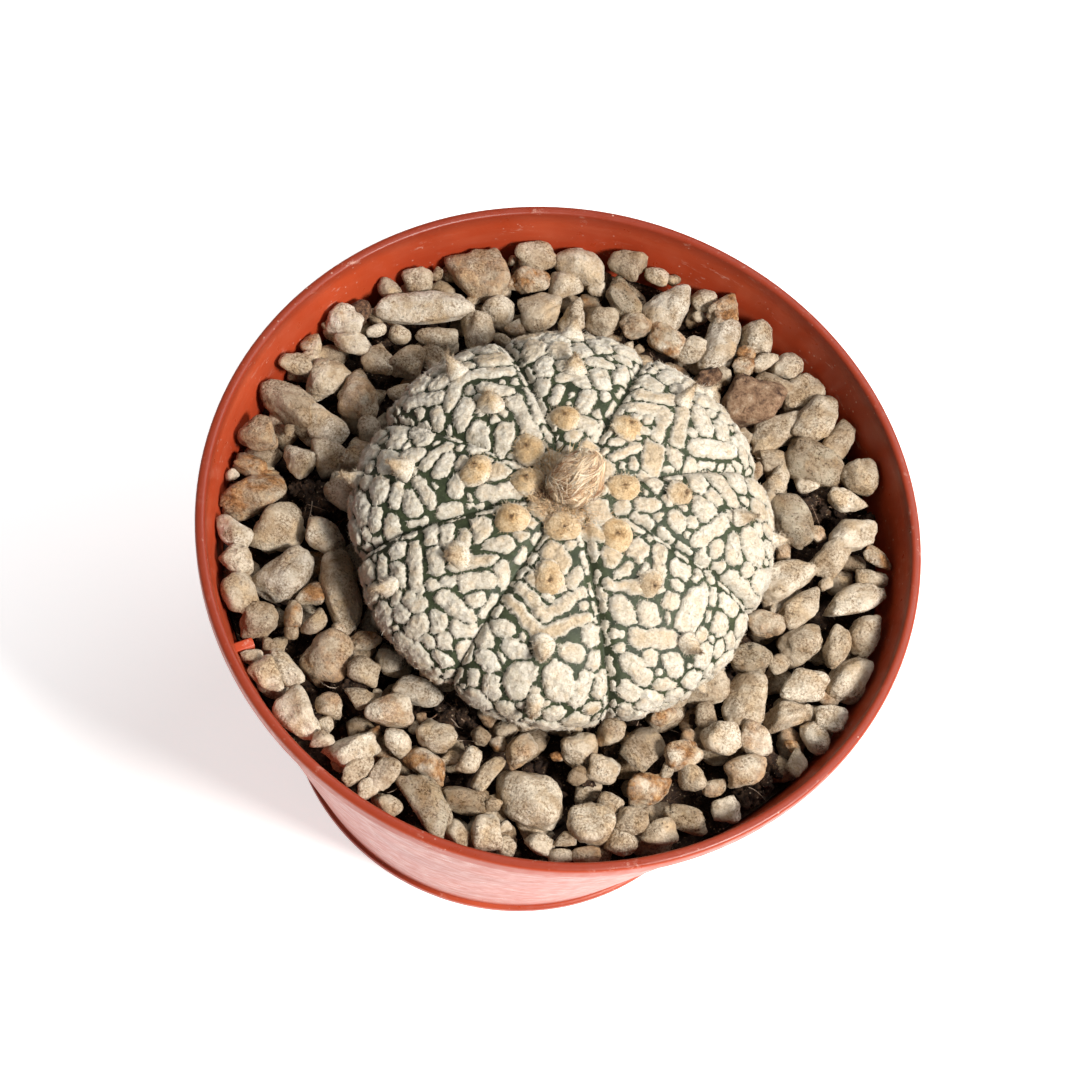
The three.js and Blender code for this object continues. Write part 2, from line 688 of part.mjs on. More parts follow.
// Small stones that fill the gaps between the larger ones.
function fillerStones(random) {
  const fillers = [];
  for (let tries = 0; tries < 6000 && fillers.length < GRAVEL.fillers; tries += 1) {
    const ring = between(random, 32, 55);
    const azimuth = random() * 2 * Math.PI;
    const size = between(random, 4, 6);
    const [x, y] = [ring * Math.cos(azimuth), ring * Math.sin(azimuth)];
    const free = [...STONES, ...fillers].every(
      ([sx, sy, length, width]) => Math.hypot(sx - x, sy - y) > 0.72 * ((length + width) / 4 + size / 2));
    if (free) fillers.push([x, y, size, size * 0.85, random() * 180]);
  }
  return fillers;
}

function makeGravel() {
  const random = seededRandom(11);
  const bottom = MIX_TOP + CLEARANCE;
  const bed = potFilling(bottom, BED_TOP, 4, MIX.sides, GRAVEL.bedRoughness);
  const stones = [...STONES, ...fillerStones(random)].map(([x, y, length, width, turn]) => {
    const drop = GRAVEL.stoneTopSpread * random() + Math.max(0, 7 - width) * 0.25;
    const top = POT.height - GRAVEL.stoneTopBelowRim - drop;
    return pumiceStone(x, y, length, width, turn, top, random);
  });
  const reach = [
    [0, bottom],
    [innerWall(bottom) - CLEARANCE, bottom],
    [innerWall(POT.height - 4) - CLEARANCE, POT.height - 4],
    [0, POT.height - 4],
  ];
  const inside = solidOf(turned(reach, POT.sides));
  const heap = joined([bed, ...stones]).intersect(inside);
  return geometryOf(largestBody(heap.subtract(plantEnvelope(1.5, MIX.sides)).subtract(lug(0.4))));
}

// ---------------------------------------------------------------- assembly

const group = new THREE.Group();

group.add(part('pot', makePot(), 0xb8482a, 0.45));
group.add(part('potting_mix', makeMix(), 0x2b221b, 1));
group.add(part('pumice_gravel', makeGravel(), 0xc2ad93, 0.95));

const plant = new THREE.Group();
plant.position.set(CACTUS.x, CACTUS.y, 0);
plant.add(part('cactus_body', makeCactus(), 0xd9d8cc, 0.9));
plant.add(part('flower_bud', makeBud(), 0xb08a62, 0.95));
group.add(plant);

export default group;
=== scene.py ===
"""Looks of the potted star cactus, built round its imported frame.

Shapes are worked out in millimetres, in the frame's own axes, and turned into metres when a mesh is made.
Azimuths are in degrees round Z. Random numbers come from seeded generators.
"""

import math
from typing import NamedTuple

import bmesh
import bpy
import numpy as np
from mathutils import Matrix, Vector


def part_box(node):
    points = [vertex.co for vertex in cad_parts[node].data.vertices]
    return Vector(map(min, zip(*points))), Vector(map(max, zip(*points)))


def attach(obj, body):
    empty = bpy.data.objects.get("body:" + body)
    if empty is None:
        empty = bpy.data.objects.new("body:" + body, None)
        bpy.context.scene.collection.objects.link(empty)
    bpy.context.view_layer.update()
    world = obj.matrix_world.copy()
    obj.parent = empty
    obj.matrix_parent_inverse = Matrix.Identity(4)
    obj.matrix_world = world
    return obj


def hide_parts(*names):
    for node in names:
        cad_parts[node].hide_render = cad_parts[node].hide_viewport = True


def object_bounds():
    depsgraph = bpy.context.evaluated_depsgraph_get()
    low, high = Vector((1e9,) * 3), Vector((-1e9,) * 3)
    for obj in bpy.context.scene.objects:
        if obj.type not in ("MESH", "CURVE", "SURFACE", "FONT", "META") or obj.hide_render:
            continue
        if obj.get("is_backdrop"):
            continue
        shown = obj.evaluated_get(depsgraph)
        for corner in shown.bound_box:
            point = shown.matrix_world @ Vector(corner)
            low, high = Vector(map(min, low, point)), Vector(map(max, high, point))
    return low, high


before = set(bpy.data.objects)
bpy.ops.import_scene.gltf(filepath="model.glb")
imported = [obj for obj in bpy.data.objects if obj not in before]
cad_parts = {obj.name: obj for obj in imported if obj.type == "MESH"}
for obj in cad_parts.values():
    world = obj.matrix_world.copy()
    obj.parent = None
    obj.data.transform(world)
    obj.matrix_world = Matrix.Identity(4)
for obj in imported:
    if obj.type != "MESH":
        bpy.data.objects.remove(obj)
CAD_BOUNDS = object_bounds()

MM = 0.001
BODY = "root"


def node_box(node):
    """Lowest and highest corner of a CAD node in millimetres."""
    low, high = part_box(node)
    return np.array(low) / MM, np.array(high) / MM


# ------------------------------------------------------------------ sizes

RIM_RADIUS, _, RIM_HEIGHT = node_box("pot")[1]
MIX_BOTTOM, MIX_TOP = (corner[2] for corner in node_box("potting_mix"))
ROOT_TIP = node_box("cactus_body")[0][2]

# The pot: a tapered wall under a wider lip, on a foot ring, with drain holes and a small lug inside.
RIM_WIDTH = 1.65
LIP_HEIGHT = 3.2
LIP_OVERHANG = 0.7
FOOT_RADIUS = 44.3
FOOT_HEIGHT = 1.8
FOOT_RING_WIDTH = 3.0
FLOOR_LIFT = 1.4
FLOOR_TOP = 3.0
WALL = 1.4
DRAIN_COUNT, DRAIN_RADIUS, DRAIN_RING = 6, 4.0, 31.0
LUG_AZIMUTH, LUG_BELOW_RIM = 218.0, 7.6
LUG_DEPTH, LUG_WIDTH, LUG_HEIGHT = 2.4, 1.7, 3.5

# The plant: its axis, the heights and radii of its smooth form, and the lobes and creases on it.
PLANT_X, PLANT_Y = 0.2, -1.5
EQUATOR = RIM_HEIGHT
BODY_RADIUS = 34.8
CROWN_RISE = 14.3
UNDER_RISE = 16.0
NECK_RADIUS = 10.0
LOBE = 1.1
CREASE_DEPTH = 0.9
CREASE_WIDTH = 0.95
# Arc lengths between which the lobes and the creases come and go.
LOBE_ARCS, CREASE_ARCS = (2, 34, 46, 64), (3, 9, 50, 60)
# The skin lies this far inside the plant's outline, to leave room for the felt on it.
FELT_ROOM = 0.55

# The felt: how far down it reaches, its sheet's step, the gap between flecks, and their height.
FELT_LOWEST_ARC = 45.5
FELT_CELL = 0.262
FELT_GAP = 0.46
FELT_HEIGHT = 0.62
FELT_EDGE = 0.12

# Azimuths of the grooves between the ribs, in degrees.
GROOVES = [31, 80, 123, 166.5, 208, 252.5, 297, 349]

# Areoles of each rib from the crown outwards: azimuth in degrees and arc length from the crown.
AREOLES = [
    [(20, 8.2), (17, 17.5), (12, 28.5), (12, 39)],
    [(67.5, 15.2), (60.3, 27.4), (60, 38)],
    [(110, 13.1), (103, 23.8), (103, 34)],
    [(151.4, 10), (145.2, 20.5), (143.5, 30.3), (143, 40)],
    [(187, 7.5), (184.4, 15.8), (186.1, 27.4), (186, 38)],
    [(224.4, 11.2), (226.8, 21.7), (222.4, 33.7)],
    [(270.5, 7), (271, 15.9), (275, 26.3), (276, 35.6)],
    [(327.5, 10.3), (324, 19.6), (324, 30.9), (324, 41)],
]

# Kinds of stone.
PALE, PLAIN, RUST, BARK, PITTED, NUGGET = "pale", "plain", "rust", "bark", "pitted", "nugget"


class Stone(NamedTuple):
    """A stone of the bed: its place, size and turn seen from above, its kind, and how far it is sunk."""

    x: float
    y: float
    length: float
    width: float
    turn: float = 0
    kind: str = PLAIN
    drop: float = 0

    @property
    def reach(self):
        """Mean half size, seen from above."""
        return (self.length + self.width) / 4


# Stones that show from above, read off the photograph one by one.
STONES = [Stone(*row) for row in (
    (-33.5, 34.9, 17.5, 7, 21, PALE), (-26.6, 46, 13, 10.5, -20), (-37, 41, 5.8, 5.5),
    (-49.2, 29.6, 6.8, 6.3, 0, PALE), (-44.2, 29.6, 7.5, 4, 70, BARK), (-42.8, 23.9, 7, 4.8, 20),
    (-45.6, 16.4, 8.5, 6.5, 70), (-38.9, 15.3, 9.5, 8.2, 75), (-33.1, 23.9, 7.5, 5.4, 80),
    (-29.6, 30.3, 8, 5), (-28.5, 25.3, 8, 5, -50), (-23.5, 33.9, 9, 5.5, -60), (-21, 38.5, 6, 5.6),
    (-13.9, 40.6, 8.5, 6.5, 40), (-8.5, 41.4, 6, 5, -60), (-17, 46.4, 7, 6, 60, RUST),
    (-11, 47.4, 6.5, 5.5, 20), (-18, 52.8, 8.5, 6, 25), (-10, 53, 9, 8, 20), (-1.7, 53.9, 7, 6),
    (7.2, 48.9, 10.5, 8.5, 60, PALE), (-0.6, 47.8, 9, 6, -40, PITTED), (-2.8, 42.8, 6.5, 5.5),
    (2.7, 42.9, 5.8, 5), (9.1, 42.1, 8.5, 6, 0, RUST), (14, 41.7, 6, 5), (17.8, 52.6, 6.5, 5, 40, RUST),
    (17.9, 44.4, 12, 6.8, -85, PALE), (23.9, 47.4, 7, 5.8, -80), (22.8, 44, 3.5, 2.8, 0, RUST),
    (23, 41, 4.5, 4, 0, RUST), (26, 42.9, 4.5, 3.3, 60), (30.1, 44, 6.3, 5.6),
    (25.9, 35.2, 11.5, 9.5, 10, NUGGET), (28.8, 39.5, 7, 5), (17.6, 36.5, 5, 3.5, 30, BARK),
    (35, 41, 8.5, 6, 45), (39.2, 36.9, 12, 6.8, 75), (44, 33.5, 8.3, 5, 65), (31.6, 31.2, 11.5, 6, 38),
    (38.8, 26.4, 11.5, 8.5, -20, PITTED), (47.4, 27.1, 7.3, 6.5), (45.5, 21.1, 6.3, 5, -35),
    (38.4, 22.4, 4.5, 3.2), (31.6, 25.2, 6, 4.5), (33.9, 21.9, 7.5, 4.5, 60), (47.8, 14.9, 8.5, 6, 20),
    (37.7, 14.7, 10.5, 7, -55, PITTED), (42.2, 13.6, 3.5, 3), (45.2, 9.5, 9, 6, 50),
    (53, 12.1, 5.5, 4, 0, RUST), (52.7, 8.5, 6, 3.8), (38.4, 4.2, 11.5, 6.5, 55), (50.8, 3.5, 11, 5.5, 30),
    (42.6, -0.4, 9.5, 5, 52), (36.9, -5, 7, 5), (43.6, -6.9, 8, 7, 20), (49.4, -5.8, 8, 4.5, 75),
    (53.6, -1.9, 8, 5.5, 70), (53.3, -10.4, 10, 7, 60), (36.1, -11.9, 7, 6, 0, PITTED),
    (45.4, -14, 8.5, 5.5, 20), (36.5, -19.7, 10.5, 7, -80), (30.4, -19, 7.5, 6), (43.6, -20.4, 7, 6.5),
    (51.5, -19, 6, 4.5), (49.4, -22.2, 6, 4, -40), (34.4, -27.2, 7, 6), (40, -26, 6, 5),
    (39.4, -31.5, 7.5, 5.5, 50), (25, -26, 5.5, 5, 0, RUST), (29, -31.5, 6.5, 5, 45, RUST),
    (22.6, -32.2, 9.5, 7.5, 50), (31.5, -34.7, 5, 4.5), (12.9, -35.4, 7, 6), (17.2, -37.6, 5.5, 5),
    (25, -38.6, 7, 6.5, 0, RUST), (6.9, -45, 12.5, 9.5, -15), (17.6, -46.9, 8, 7, 30), (24, -44.7, 5.5, 4.8),
    (31.9, -41.9, 8, 4, -10, PITTED), (28.6, -45.4, 6, 5), (22.6, -48.3, 6, 4.5), (3.6, -38.6, 6.5, 4.5, 60),
    (-9.9, -40.1, 6.8, 6), (-10.2, -45.3, 7.8, 5, -5, RUST), (-2.7, -48.7, 8, 4.6, 5, PITTED),
    (-8, -51.2, 13, 6, -45, PITTED), (1.9, -53.3, 6.5, 5, -60), (-3.1, -38.4, 3.4, 3),
    (-3.5, -43, 5.3, 3.5, 65), (-0.5, -43.7, 7.5, 3.3, 70), (-18.1, -39, 7.7, 5.8, 40),
    (-22.1, -45.7, 8.3, 6.3, 50), (-15.3, -42.9, 5.3, 4.5), (-16, -48.7, 6.3, 4.4, 80),
    (-20.2, -49.1, 6.5, 3.3, 50), (-26.8, -46.3, 3.8, 3.2), (-31.8, -43.3, 9.5, 6.5, -40),
    (-39, -39, 6.2, 4.6, -35), (-36.5, -35.8, 8, 4.5, -50), (-30.5, -32, 8.3, 7.8), (-24.1, -33, 5.5, 5),
    (-14.7, -33.7, 8.7, 4.5, -5, PALE), (-23.4, -37.6, 5.5, 3.8), (-27.7, -40, 4.8, 3.8),
    (-25.3, -27.9, 5.5, 3.2, 30, RUST), (-31.5, -21.1, 15.5, 6.5, -65), (-41.2, -20.2, 11, 8, 65, PALE),
    (-36.1, -22.6, 5, 4.3, 0, RUST), (-38, -26.8, 5, 3.5, -60, RUST), (-33.9, -27.5, 5, 3.5, 60),
    (-47, -26.4, 8.3, 6, -65), (-43.1, -29.6, 7, 6, 50), (-49.3, -20.4, 6, 5.3),
    (-51.7, -15.9, 7.5, 5, -35, PALE), (-44.4, -12.5, 10.5, 7.8, 75), (-36.9, -12.1, 7, 6.5),
    (-50.8, -8, 12, 7.5, 50, RUST), (-36.1, -3.9, 7.5, 5, -30), (-45.2, -0.5, 6.5, 6),
    (-52.7, -2.7, 6, 4, 0, RUST), (-50.3, 9.6, 12, 7, -10), (-42.8, 7.4, 8.5, 7), (-53, 2.4, 7, 6),
    (-41, 1.7, 6.5, 6), (-36.4, 3.9, 7.5, 5, 80), (-52.8, 18, 6, 4.5), (-38, 22.4, 6, 5),
)]

# Bare spots, where the dark mix shows between the stones: x, y and radius.
BARE_SPOTS = [
    (53.5, 21.5, 4), (55.5, 16, 3), (-40, -6, 3.4), (-8, -34.5, 3.6), (42.5, -33, 3.6), (41, 20.5, 2.4),
    (-26, -34.5, 2.4),
]

# ------------------------------------------------------------------ numbers and noise


def smooth_step(value, low, high):
    share = np.clip((value - low) / (high - low), 0, 1)
    return share * share * (3 - 2 * share)


def smooth_min(a, b, blend):
    """The smaller of two fields, with their crossing rounded over a blend width."""
    share = np.clip(0.5 + 0.5 * (b - a) / blend, 0, 1)
    return b * (1 - share) + a * share - blend * share * (1 - share)


def turned_about_z(points, degrees):
    """Points turned round the Z axis."""
    angle = math.radians(degrees)
    c, s = math.cos(angle), math.sin(angle)
    return points @ np.array([[c, s, 0], [-s, c, 0], [0, 0, 1]])


def unit(vectors):
    return vectors / np.maximum(np.linalg.norm(vectors, axis=-1, keepdims=True), 1e-9)


def heading(turn):
    """Level unit vector at an angle in radians."""
    return np.array([math.cos(turn), math.sin(turn), 0])


# Large odd numbers that scramble a lattice corner's place and the seed into one number.
SCRAMBLE_X, SCRAMBLE_Y, SCRAMBLE_Z = 73856093, 19349663, 83492791
SCRAMBLE_SEED, SCRAMBLE_ALL = 2654435761, 1274126177


def lattice_noise(points, cell, seed):
    """Smooth noise from -1 to 1 at N x 3 points, with features about one cell across."""
    grid = points / cell
    base = np.floor(grid).astype(np.int64)
    share = smooth_step(grid - base, 0, 1)
    total = np.zeros(len(points))
    for corner in np.ndindex(2, 2, 2):
        x, y, z = (base + corner).T
        mixed = (x * SCRAMBLE_X) ^ (y * SCRAMBLE_Y) ^ (z * SCRAMBLE_Z) ^ (seed * SCRAMBLE_SEED)
        mixed = (mixed ^ (mixed >> 13)) * SCRAMBLE_ALL
        value = ((mixed ^ (mixed >> 16)) & 0xFFFF) / 32767.5 - 1
        weight = np.prod(np.where(corner, share, 1 - share), axis=1)
        total += value * weight
    return total


def fractal_noise(points, cell, seed, octaves=3):
    """Lattice noise with finer and fainter layers over it."""
    total = np.zeros(len(points))
    for octave in range(octaves):
        total += lattice_noise(points, cell / 2**octave, seed + octave) / 2**octave
    return total / 1.6


# ------------------------------------------------------------------ meshes


def make_mesh(name, points, triangles, material, attributes=None, smooth=True):
    """A mesh object from millimetre points and triangles, with one float attribute per name."""
    mesh = bpy.data.meshes.new(name)
    triangles = np.asarray(triangles, dtype=np.int32)
    mesh.vertices.add(len(points))
    mesh.vertices.foreach_set("co", (np.asarray(points, dtype=float) * MM).ravel())
    mesh.loops.add(triangles.size)
    mesh.loops.foreach_set("vertex_index", triangles.ravel())
    mesh.polygons.add(len(triangles))
    mesh.polygons.foreach_set("loop_start", np.arange(0, triangles.size, 3, dtype=np.int32))
    mesh.polygons.foreach_set("use_smooth", np.full(len(triangles), smooth))
    for key, values in (attributes or {}).items():
        set_attribute(mesh, key, values)
    mesh.update(calc_edges=True)
    mesh.validate()
    mesh.materials.append(material)
    piece = bpy.data.objects.new(name, mesh)
    bpy.context.scene.collection.objects.link(piece)
    return piece


def set_attribute(mesh, name, values):
    layer = mesh.attributes.new(name, "FLOAT", "POINT")
    layer.data.foreach_set("value", np.asarray(values, dtype=np.float32))


def settle(piece, slot, *nodes):
    """Rides a piece on the object and lets it stand for CAD nodes, which it hides; the slot is not used."""
    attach(piece, BODY)
    if nodes:
        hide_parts(*nodes)
    return piece


class Heap:
    """Collects small meshes, with their attributes, into one."""

    def __init__(self):
        self.points, self.triangles, self.attributes, self.count = [], [], {}, 0

    def add(self, points, triangles, **attributes):
        self.points.append(points)
        self.triangles.append(np.asarray(triangles) + self.count)
        self.count += len(points)
        for key, value in attributes.items():
            values = np.broadcast_to(np.asarray(value, dtype=float), (len(points),))
            self.attributes.setdefault(key, []).append(values)

    def faces(self):
        return sum(len(part) for part in self.triangles)

    def piece(self, name, material):
        attributes = {key: np.concatenate(parts) for key, parts in self.attributes.items()}
        points, triangles = np.concatenate(self.points), np.concatenate(self.triangles)
        return make_mesh(name, points, triangles, material, attributes)


def grid_triangles(rows, columns, closed):
    """Triangles of a rows x columns net of points, joined to itself across the columns if closed."""
    across = columns if closed else columns - 1
    row, column = np.meshgrid(np.arange(rows - 1), np.arange(across), indexing="ij")
    after = (column + 1) % columns
    a, b = row * columns + column, row * columns + after
    c, d = (row + 1) * columns + after, (row + 1) * columns + column
    halves = [np.stack([a, b, c], -1), np.stack([a, c, d], -1)]
    return np.concatenate([half.reshape(-1, 3) for half in halves])


def turned_net(profile, sides):
    """Points and triangles of a [radius, height] profile turned round Z."""
    profile = np.asarray(profile, dtype=float)
    angles = np.arange(sides) * 2 * math.pi / sides
    ring = np.stack([np.cos(angles), np.sin(angles)], -1)
    plan = profile[:, None, 0:1] * ring[None]
    height = np.broadcast_to(profile[:, None, 1:2], plan.shape[:2] + (1,))
    return np.concatenate([plan, height], -1).reshape(-1, 3), grid_triangles(len(profile), sides, True)


def arrays_of(mesh):
    """Points and triangles of a bmesh, which is freed."""
    mesh.verts.index_update()
    points = np.array([vertex.co[:] for vertex in mesh.verts])
    triangles = np.array([[vertex.index for vertex in face.verts] for face in mesh.faces])
    mesh.free()
    return points, triangles


def icosphere(level):
    mesh = bmesh.new()
    bmesh.ops.create_icosphere(mesh, subdivisions=level, radius=1)
    return arrays_of(mesh)


def filleted(profile, radii, steps=5):
    """A profile with the corner at each point rounded by its radius."""
    points = [np.array(p, dtype=float) for p in profile]
    out = [points[0]]
    for i in range(1, len(points) - 1):
        before, here, after = points[i - 1], points[i], points[i + 1]
        back, on = before - here, after - here
        reach = min(radii[i], 0.45 * np.linalg.norm(back), 0.45 * np.linalg.norm(on))
        if reach <= 0:
            out.append(here)
            continue
        start = here + back / np.linalg.norm(back) * reach
        end = here + on / np.linalg.norm(on) * reach
        for step in range(steps + 1):
            t = step / steps
            out.append((1 - t) ** 2 * start + 2 * t * (1 - t) * here + t**2 * end)
    out.append(points[-1])
    return np.array(out)


def divided(profile, longest):
    """A profile with its long stretches split into shorter ones."""
    out = [profile[0]]
    for a, b in zip(profile[:-1], profile[1:]):
        pieces = max(1, math.ceil(np.linalg.norm(b - a) / longest))
        out.extend(a + (b - a) * (i + 1) / pieces for i in range(pieces))
    return np.array(out)


def capped(points, rings, sides, ends=None):
    """Closes both ends of a net of rings with a fan each, round given points or the rings' middles."""
    low, high, last = len(points), len(points) + 1, (rings - 1) * sides
    if ends is None:
        ends = np.stack([points[:sides].mean(0), points[last:].mean(0)])
    around = np.arange(sides)
    after = np.roll(around, -1)
    foot = np.stack([np.full(sides, low), after, around], -1)
    head = np.stack([np.full(sides, high), last + around, last + after], -1)
    return np.concatenate([points, ends]), np.concatenate([grid_triangles(rings, sides, True), foot, head])


def ribbons(centres, sides, widths):
    """Tapered ribbons along centre lines, and for each point its share of the way to the tip."""
    count, joints = centres.shape[:2]
    t = np.linspace(0, 1, joints)
    half = sides * (widths[:, None] * (1 - 0.85 * t) / 2)[..., None]
    points = np.stack([centres - half, centres + half], 2)
    links = np.array([[2 * j, 2 * j + 1, 2 * j + 3] for j in range(joints - 1)]
                     + [[2 * j, 2 * j + 3, 2 * j + 2] for j in range(joints - 1)])
    triangles = (np.arange(count) * joints * 2)[:, None, None] + links[None]
    along = np.broadcast_to(t[None, :, None], points.shape[:3]).ravel()
    return points.reshape(-1, 3), triangles.reshape(-1, 3), along


def hair_ribbons(roots, directions, lengths, widths, droop, rng, joints=4):
    """Tapered ribbons that start at the roots and bend towards a droop vector."""
    side = np.cross(directions, rng.normal(size=directions.shape))
    side /= np.linalg.norm(side, axis=1, keepdims=True) + 1e-9
    t = np.linspace(0, 1, joints)[None, :, None]
    reach = lengths[:, None, None]
    centres = roots[:, None] + directions[:, None] * reach * t + droop[:, None] * reach * t**2
    return ribbons(centres, np.broadcast_to(side[:, None], centres.shape), widths)


# ------------------------------------------------------------------ materials

WHITE = (1.0, 1.0, 1.0)


class Shader:
    """A node material under construction. Lengths are in millimetres."""

    def __init__(self, name, roughness, **sockets):
        self.material = bpy.data.materials.new(name)
        self.material.use_nodes = True
        self.surface = self.material.node_tree.nodes["Principled BSDF"]
        self.surface.inputs["Roughness"].default_value = roughness
        for socket, value in sockets.items():
            self.surface.inputs[socket.replace("_", " ")].default_value = value
        self.place = self.node("TexCoord").outputs["Object"]

    def node(self, kind, **inputs):
        """A new shader node; its inputs may be sockets, tuples or numbers."""
        node = self.material.node_tree.nodes.new("ShaderNode" + kind)
        for name, value in inputs.items():
            self.feed(value, node.inputs[name])
        return node

    def feed(self, value, socket):
        if isinstance(value, bpy.types.NodeSocket):
            self.material.node_tree.links.new(value, socket)
        elif isinstance(value, tuple) and socket.type == "RGBA":
            socket.default_value = (*value, 1)
        else:
            socket.default_value = value

    def stretched(self, stretch):
        if stretch is None:
            return self.place
        return self.node("Mapping", Scale=stretch, Vector=self.place).outputs["Vector"]

    def noise(self, size, detail=3.0, roughness=0.55, stretch=None):
        """Noise from 0 to 1 with features of a size."""
        vector = self.stretched(stretch)
        fields = {"Scale": 1 / (size * MM), "Detail": detail, "Roughness": roughness, "Vector": vector}
        return self.node("TexNoise", **fields).outputs["Fac"]

    def cells(self, size):
        """Distance to the nearest of scattered spots, a size apart."""
        return self.node("TexVoronoi", Scale=1 / (size * MM), Vector=self.place).outputs["Distance"]

    def attribute(self, name):
        node = self.node("Attribute")
        node.attribute_name = name
        return node.outputs["Fac"]

    def ramp(self, factor, *stops):
        """Colours by a factor: each stop is a position and a colour or a grey."""
        node = self.node("ValToRGB", Fac=factor)
        elements = node.color_ramp.elements
        while len(elements) < len(stops):
            elements.new(0.5)
        for element, (position, color) in zip(elements, stops):
            element.position = position
            element.color = (*color, 1) if isinstance(color, tuple) else (color, color, color, 1)
        return node.outputs["Color"]

    def mask(self, factor, low, high):
        """0 below the low factor, 1 above the high one."""
        return self.ramp(factor, (low, 0), (high, 1))

    def holes(self, factor, low, high):
        """1 below the low factor, 0 above the high one."""
        return self.ramp(factor, (low, 1), (high, 0))

    def mix(self, factor, first, second, mode="MIX"):
        node = self.node("Mix")
        node.data_type = "RGBA"
        node.blend_type = mode
        colors = [socket for socket in node.inputs if socket.type == "RGBA"]
        self.feed(factor, node.inputs["Factor"])
        self.feed(first, colors[0])
        self.feed(second, colors[1])
        return node.outputs[2]

    def tinted(self, base, mask, share, color):
        """The base, with a share of a colour where the mask is."""
        return self.mix(self.times(mask, share), base, color)

    def shaded(self, base, share, shades):
        """The base, multiplied by a share of some shades."""
        return self.mix(share, base, shades, "MULTIPLY")

    def math(self, operation, first, second, clamp=False):
        node = self.node("Math")
        node.operation = operation
        node.use_clamp = clamp
        self.feed(first, node.inputs[0])
        self.feed(second, node.inputs[1])
        return node.outputs[0]

    def times(self, first, second, clamp=False):
        return self.math("MULTIPLY", first, second, clamp)

    def plus_noise(self, source, noise, strength):
        """A source made uneven by noise, kept from 0 to 1."""
        uneven = self.times(self.math("SUBTRACT", noise, 0.5), strength)
        return self.math("ADD", source, uneven, True)

    def finish(self, color, *bumps):
        """Sets the colour and stacked bumps: each bump is a height source and its depth."""
        self.feed(color, self.surface.inputs["Base Color"])
        normal = None
        for source, depth in bumps:
            node = self.node("Bump", Strength=1, Distance=depth * MM, Height=source)
            if normal is not None:
                self.feed(normal, node.inputs["Normal"])
            normal = node.outputs["Normal"]
        self.feed(normal, self.surface.inputs["Normal"])
        return self.material


def pot_plastic():
    """Terracotta-coloured plastic with faint streaks, scuffs and lime marks, and painted shade on the top of
    the rim.
    """
    shader = Shader("pot_plastic", 0.36, Specular_IOR_Level=0.33)
    base = shader.ramp(shader.noise(22, 2), (0.3, (0.35, 0.043, 0.014)), (0.7, (0.45, 0.062, 0.02)))
    streaks = shader.mask(shader.noise(4, 4, 0.6, (0.16, 0.16, 1)), 0.48, 0.75)
    base = shader.tinted(base, streaks, 0.25, (0.52, 0.15, 0.08))
    # Painted shade: the top of the rim is darkened to a deeper red.
    base = shader.tinted(base, shader.attribute("rim"), 0.75, (0.2, 0.024, 0.01))
    patches = shader.ramp(shader.noise(9, 3), (0.46, 0.08), (0.62, 1))
    dots = shader.holes(shader.cells(1.5), 0.08, 0.14)
    smears = shader.ramp(shader.noise(1.3, 5, 0.75, (0.3, 0.3, 1)), (0.59, 0), (0.68, 0.8))
    lime = shader.times(shader.math("MAXIMUM", dots, smears), patches)
    base = shader.tinted(base, lime, 0.55, (0.75, 0.5, 0.4))
    wear = shader.ramp(shader.noise(2.5, 4), (0.3, 0.27), (0.75, 0.48))
    shader.feed(wear, shader.surface.inputs["Roughness"])
    return shader.finish(base, (shader.noise(7, 2), 0.08), (shader.noise(0.7, 3), 0.02), (lime, 0.04))


def mix_material():
    """Damp dark potting mix with pale specks of perlite and grit."""
    shader = Shader("potting_mix", 0.85, Specular_IOR_Level=0.3)
    soil = [(0.38, (0.016, 0.008, 0.005)), (0.55, (0.052, 0.027, 0.014)), (0.74, (0.19, 0.105, 0.055))]
    specks = shader.holes(shader.cells(0.75), 0.16, 0.26)
    specks = shader.times(specks, shader.mask(shader.noise(2.2, 3), 0.45, 0.55))
    grain = shader.noise(1.0, 5, 0.8)
    base = shader.mix(specks, shader.ramp(grain, *soil), (0.4, 0.3, 0.2))
    return shader.finish(base, (grain, 0.8), (shader.noise(0.3, 3), 0.2))


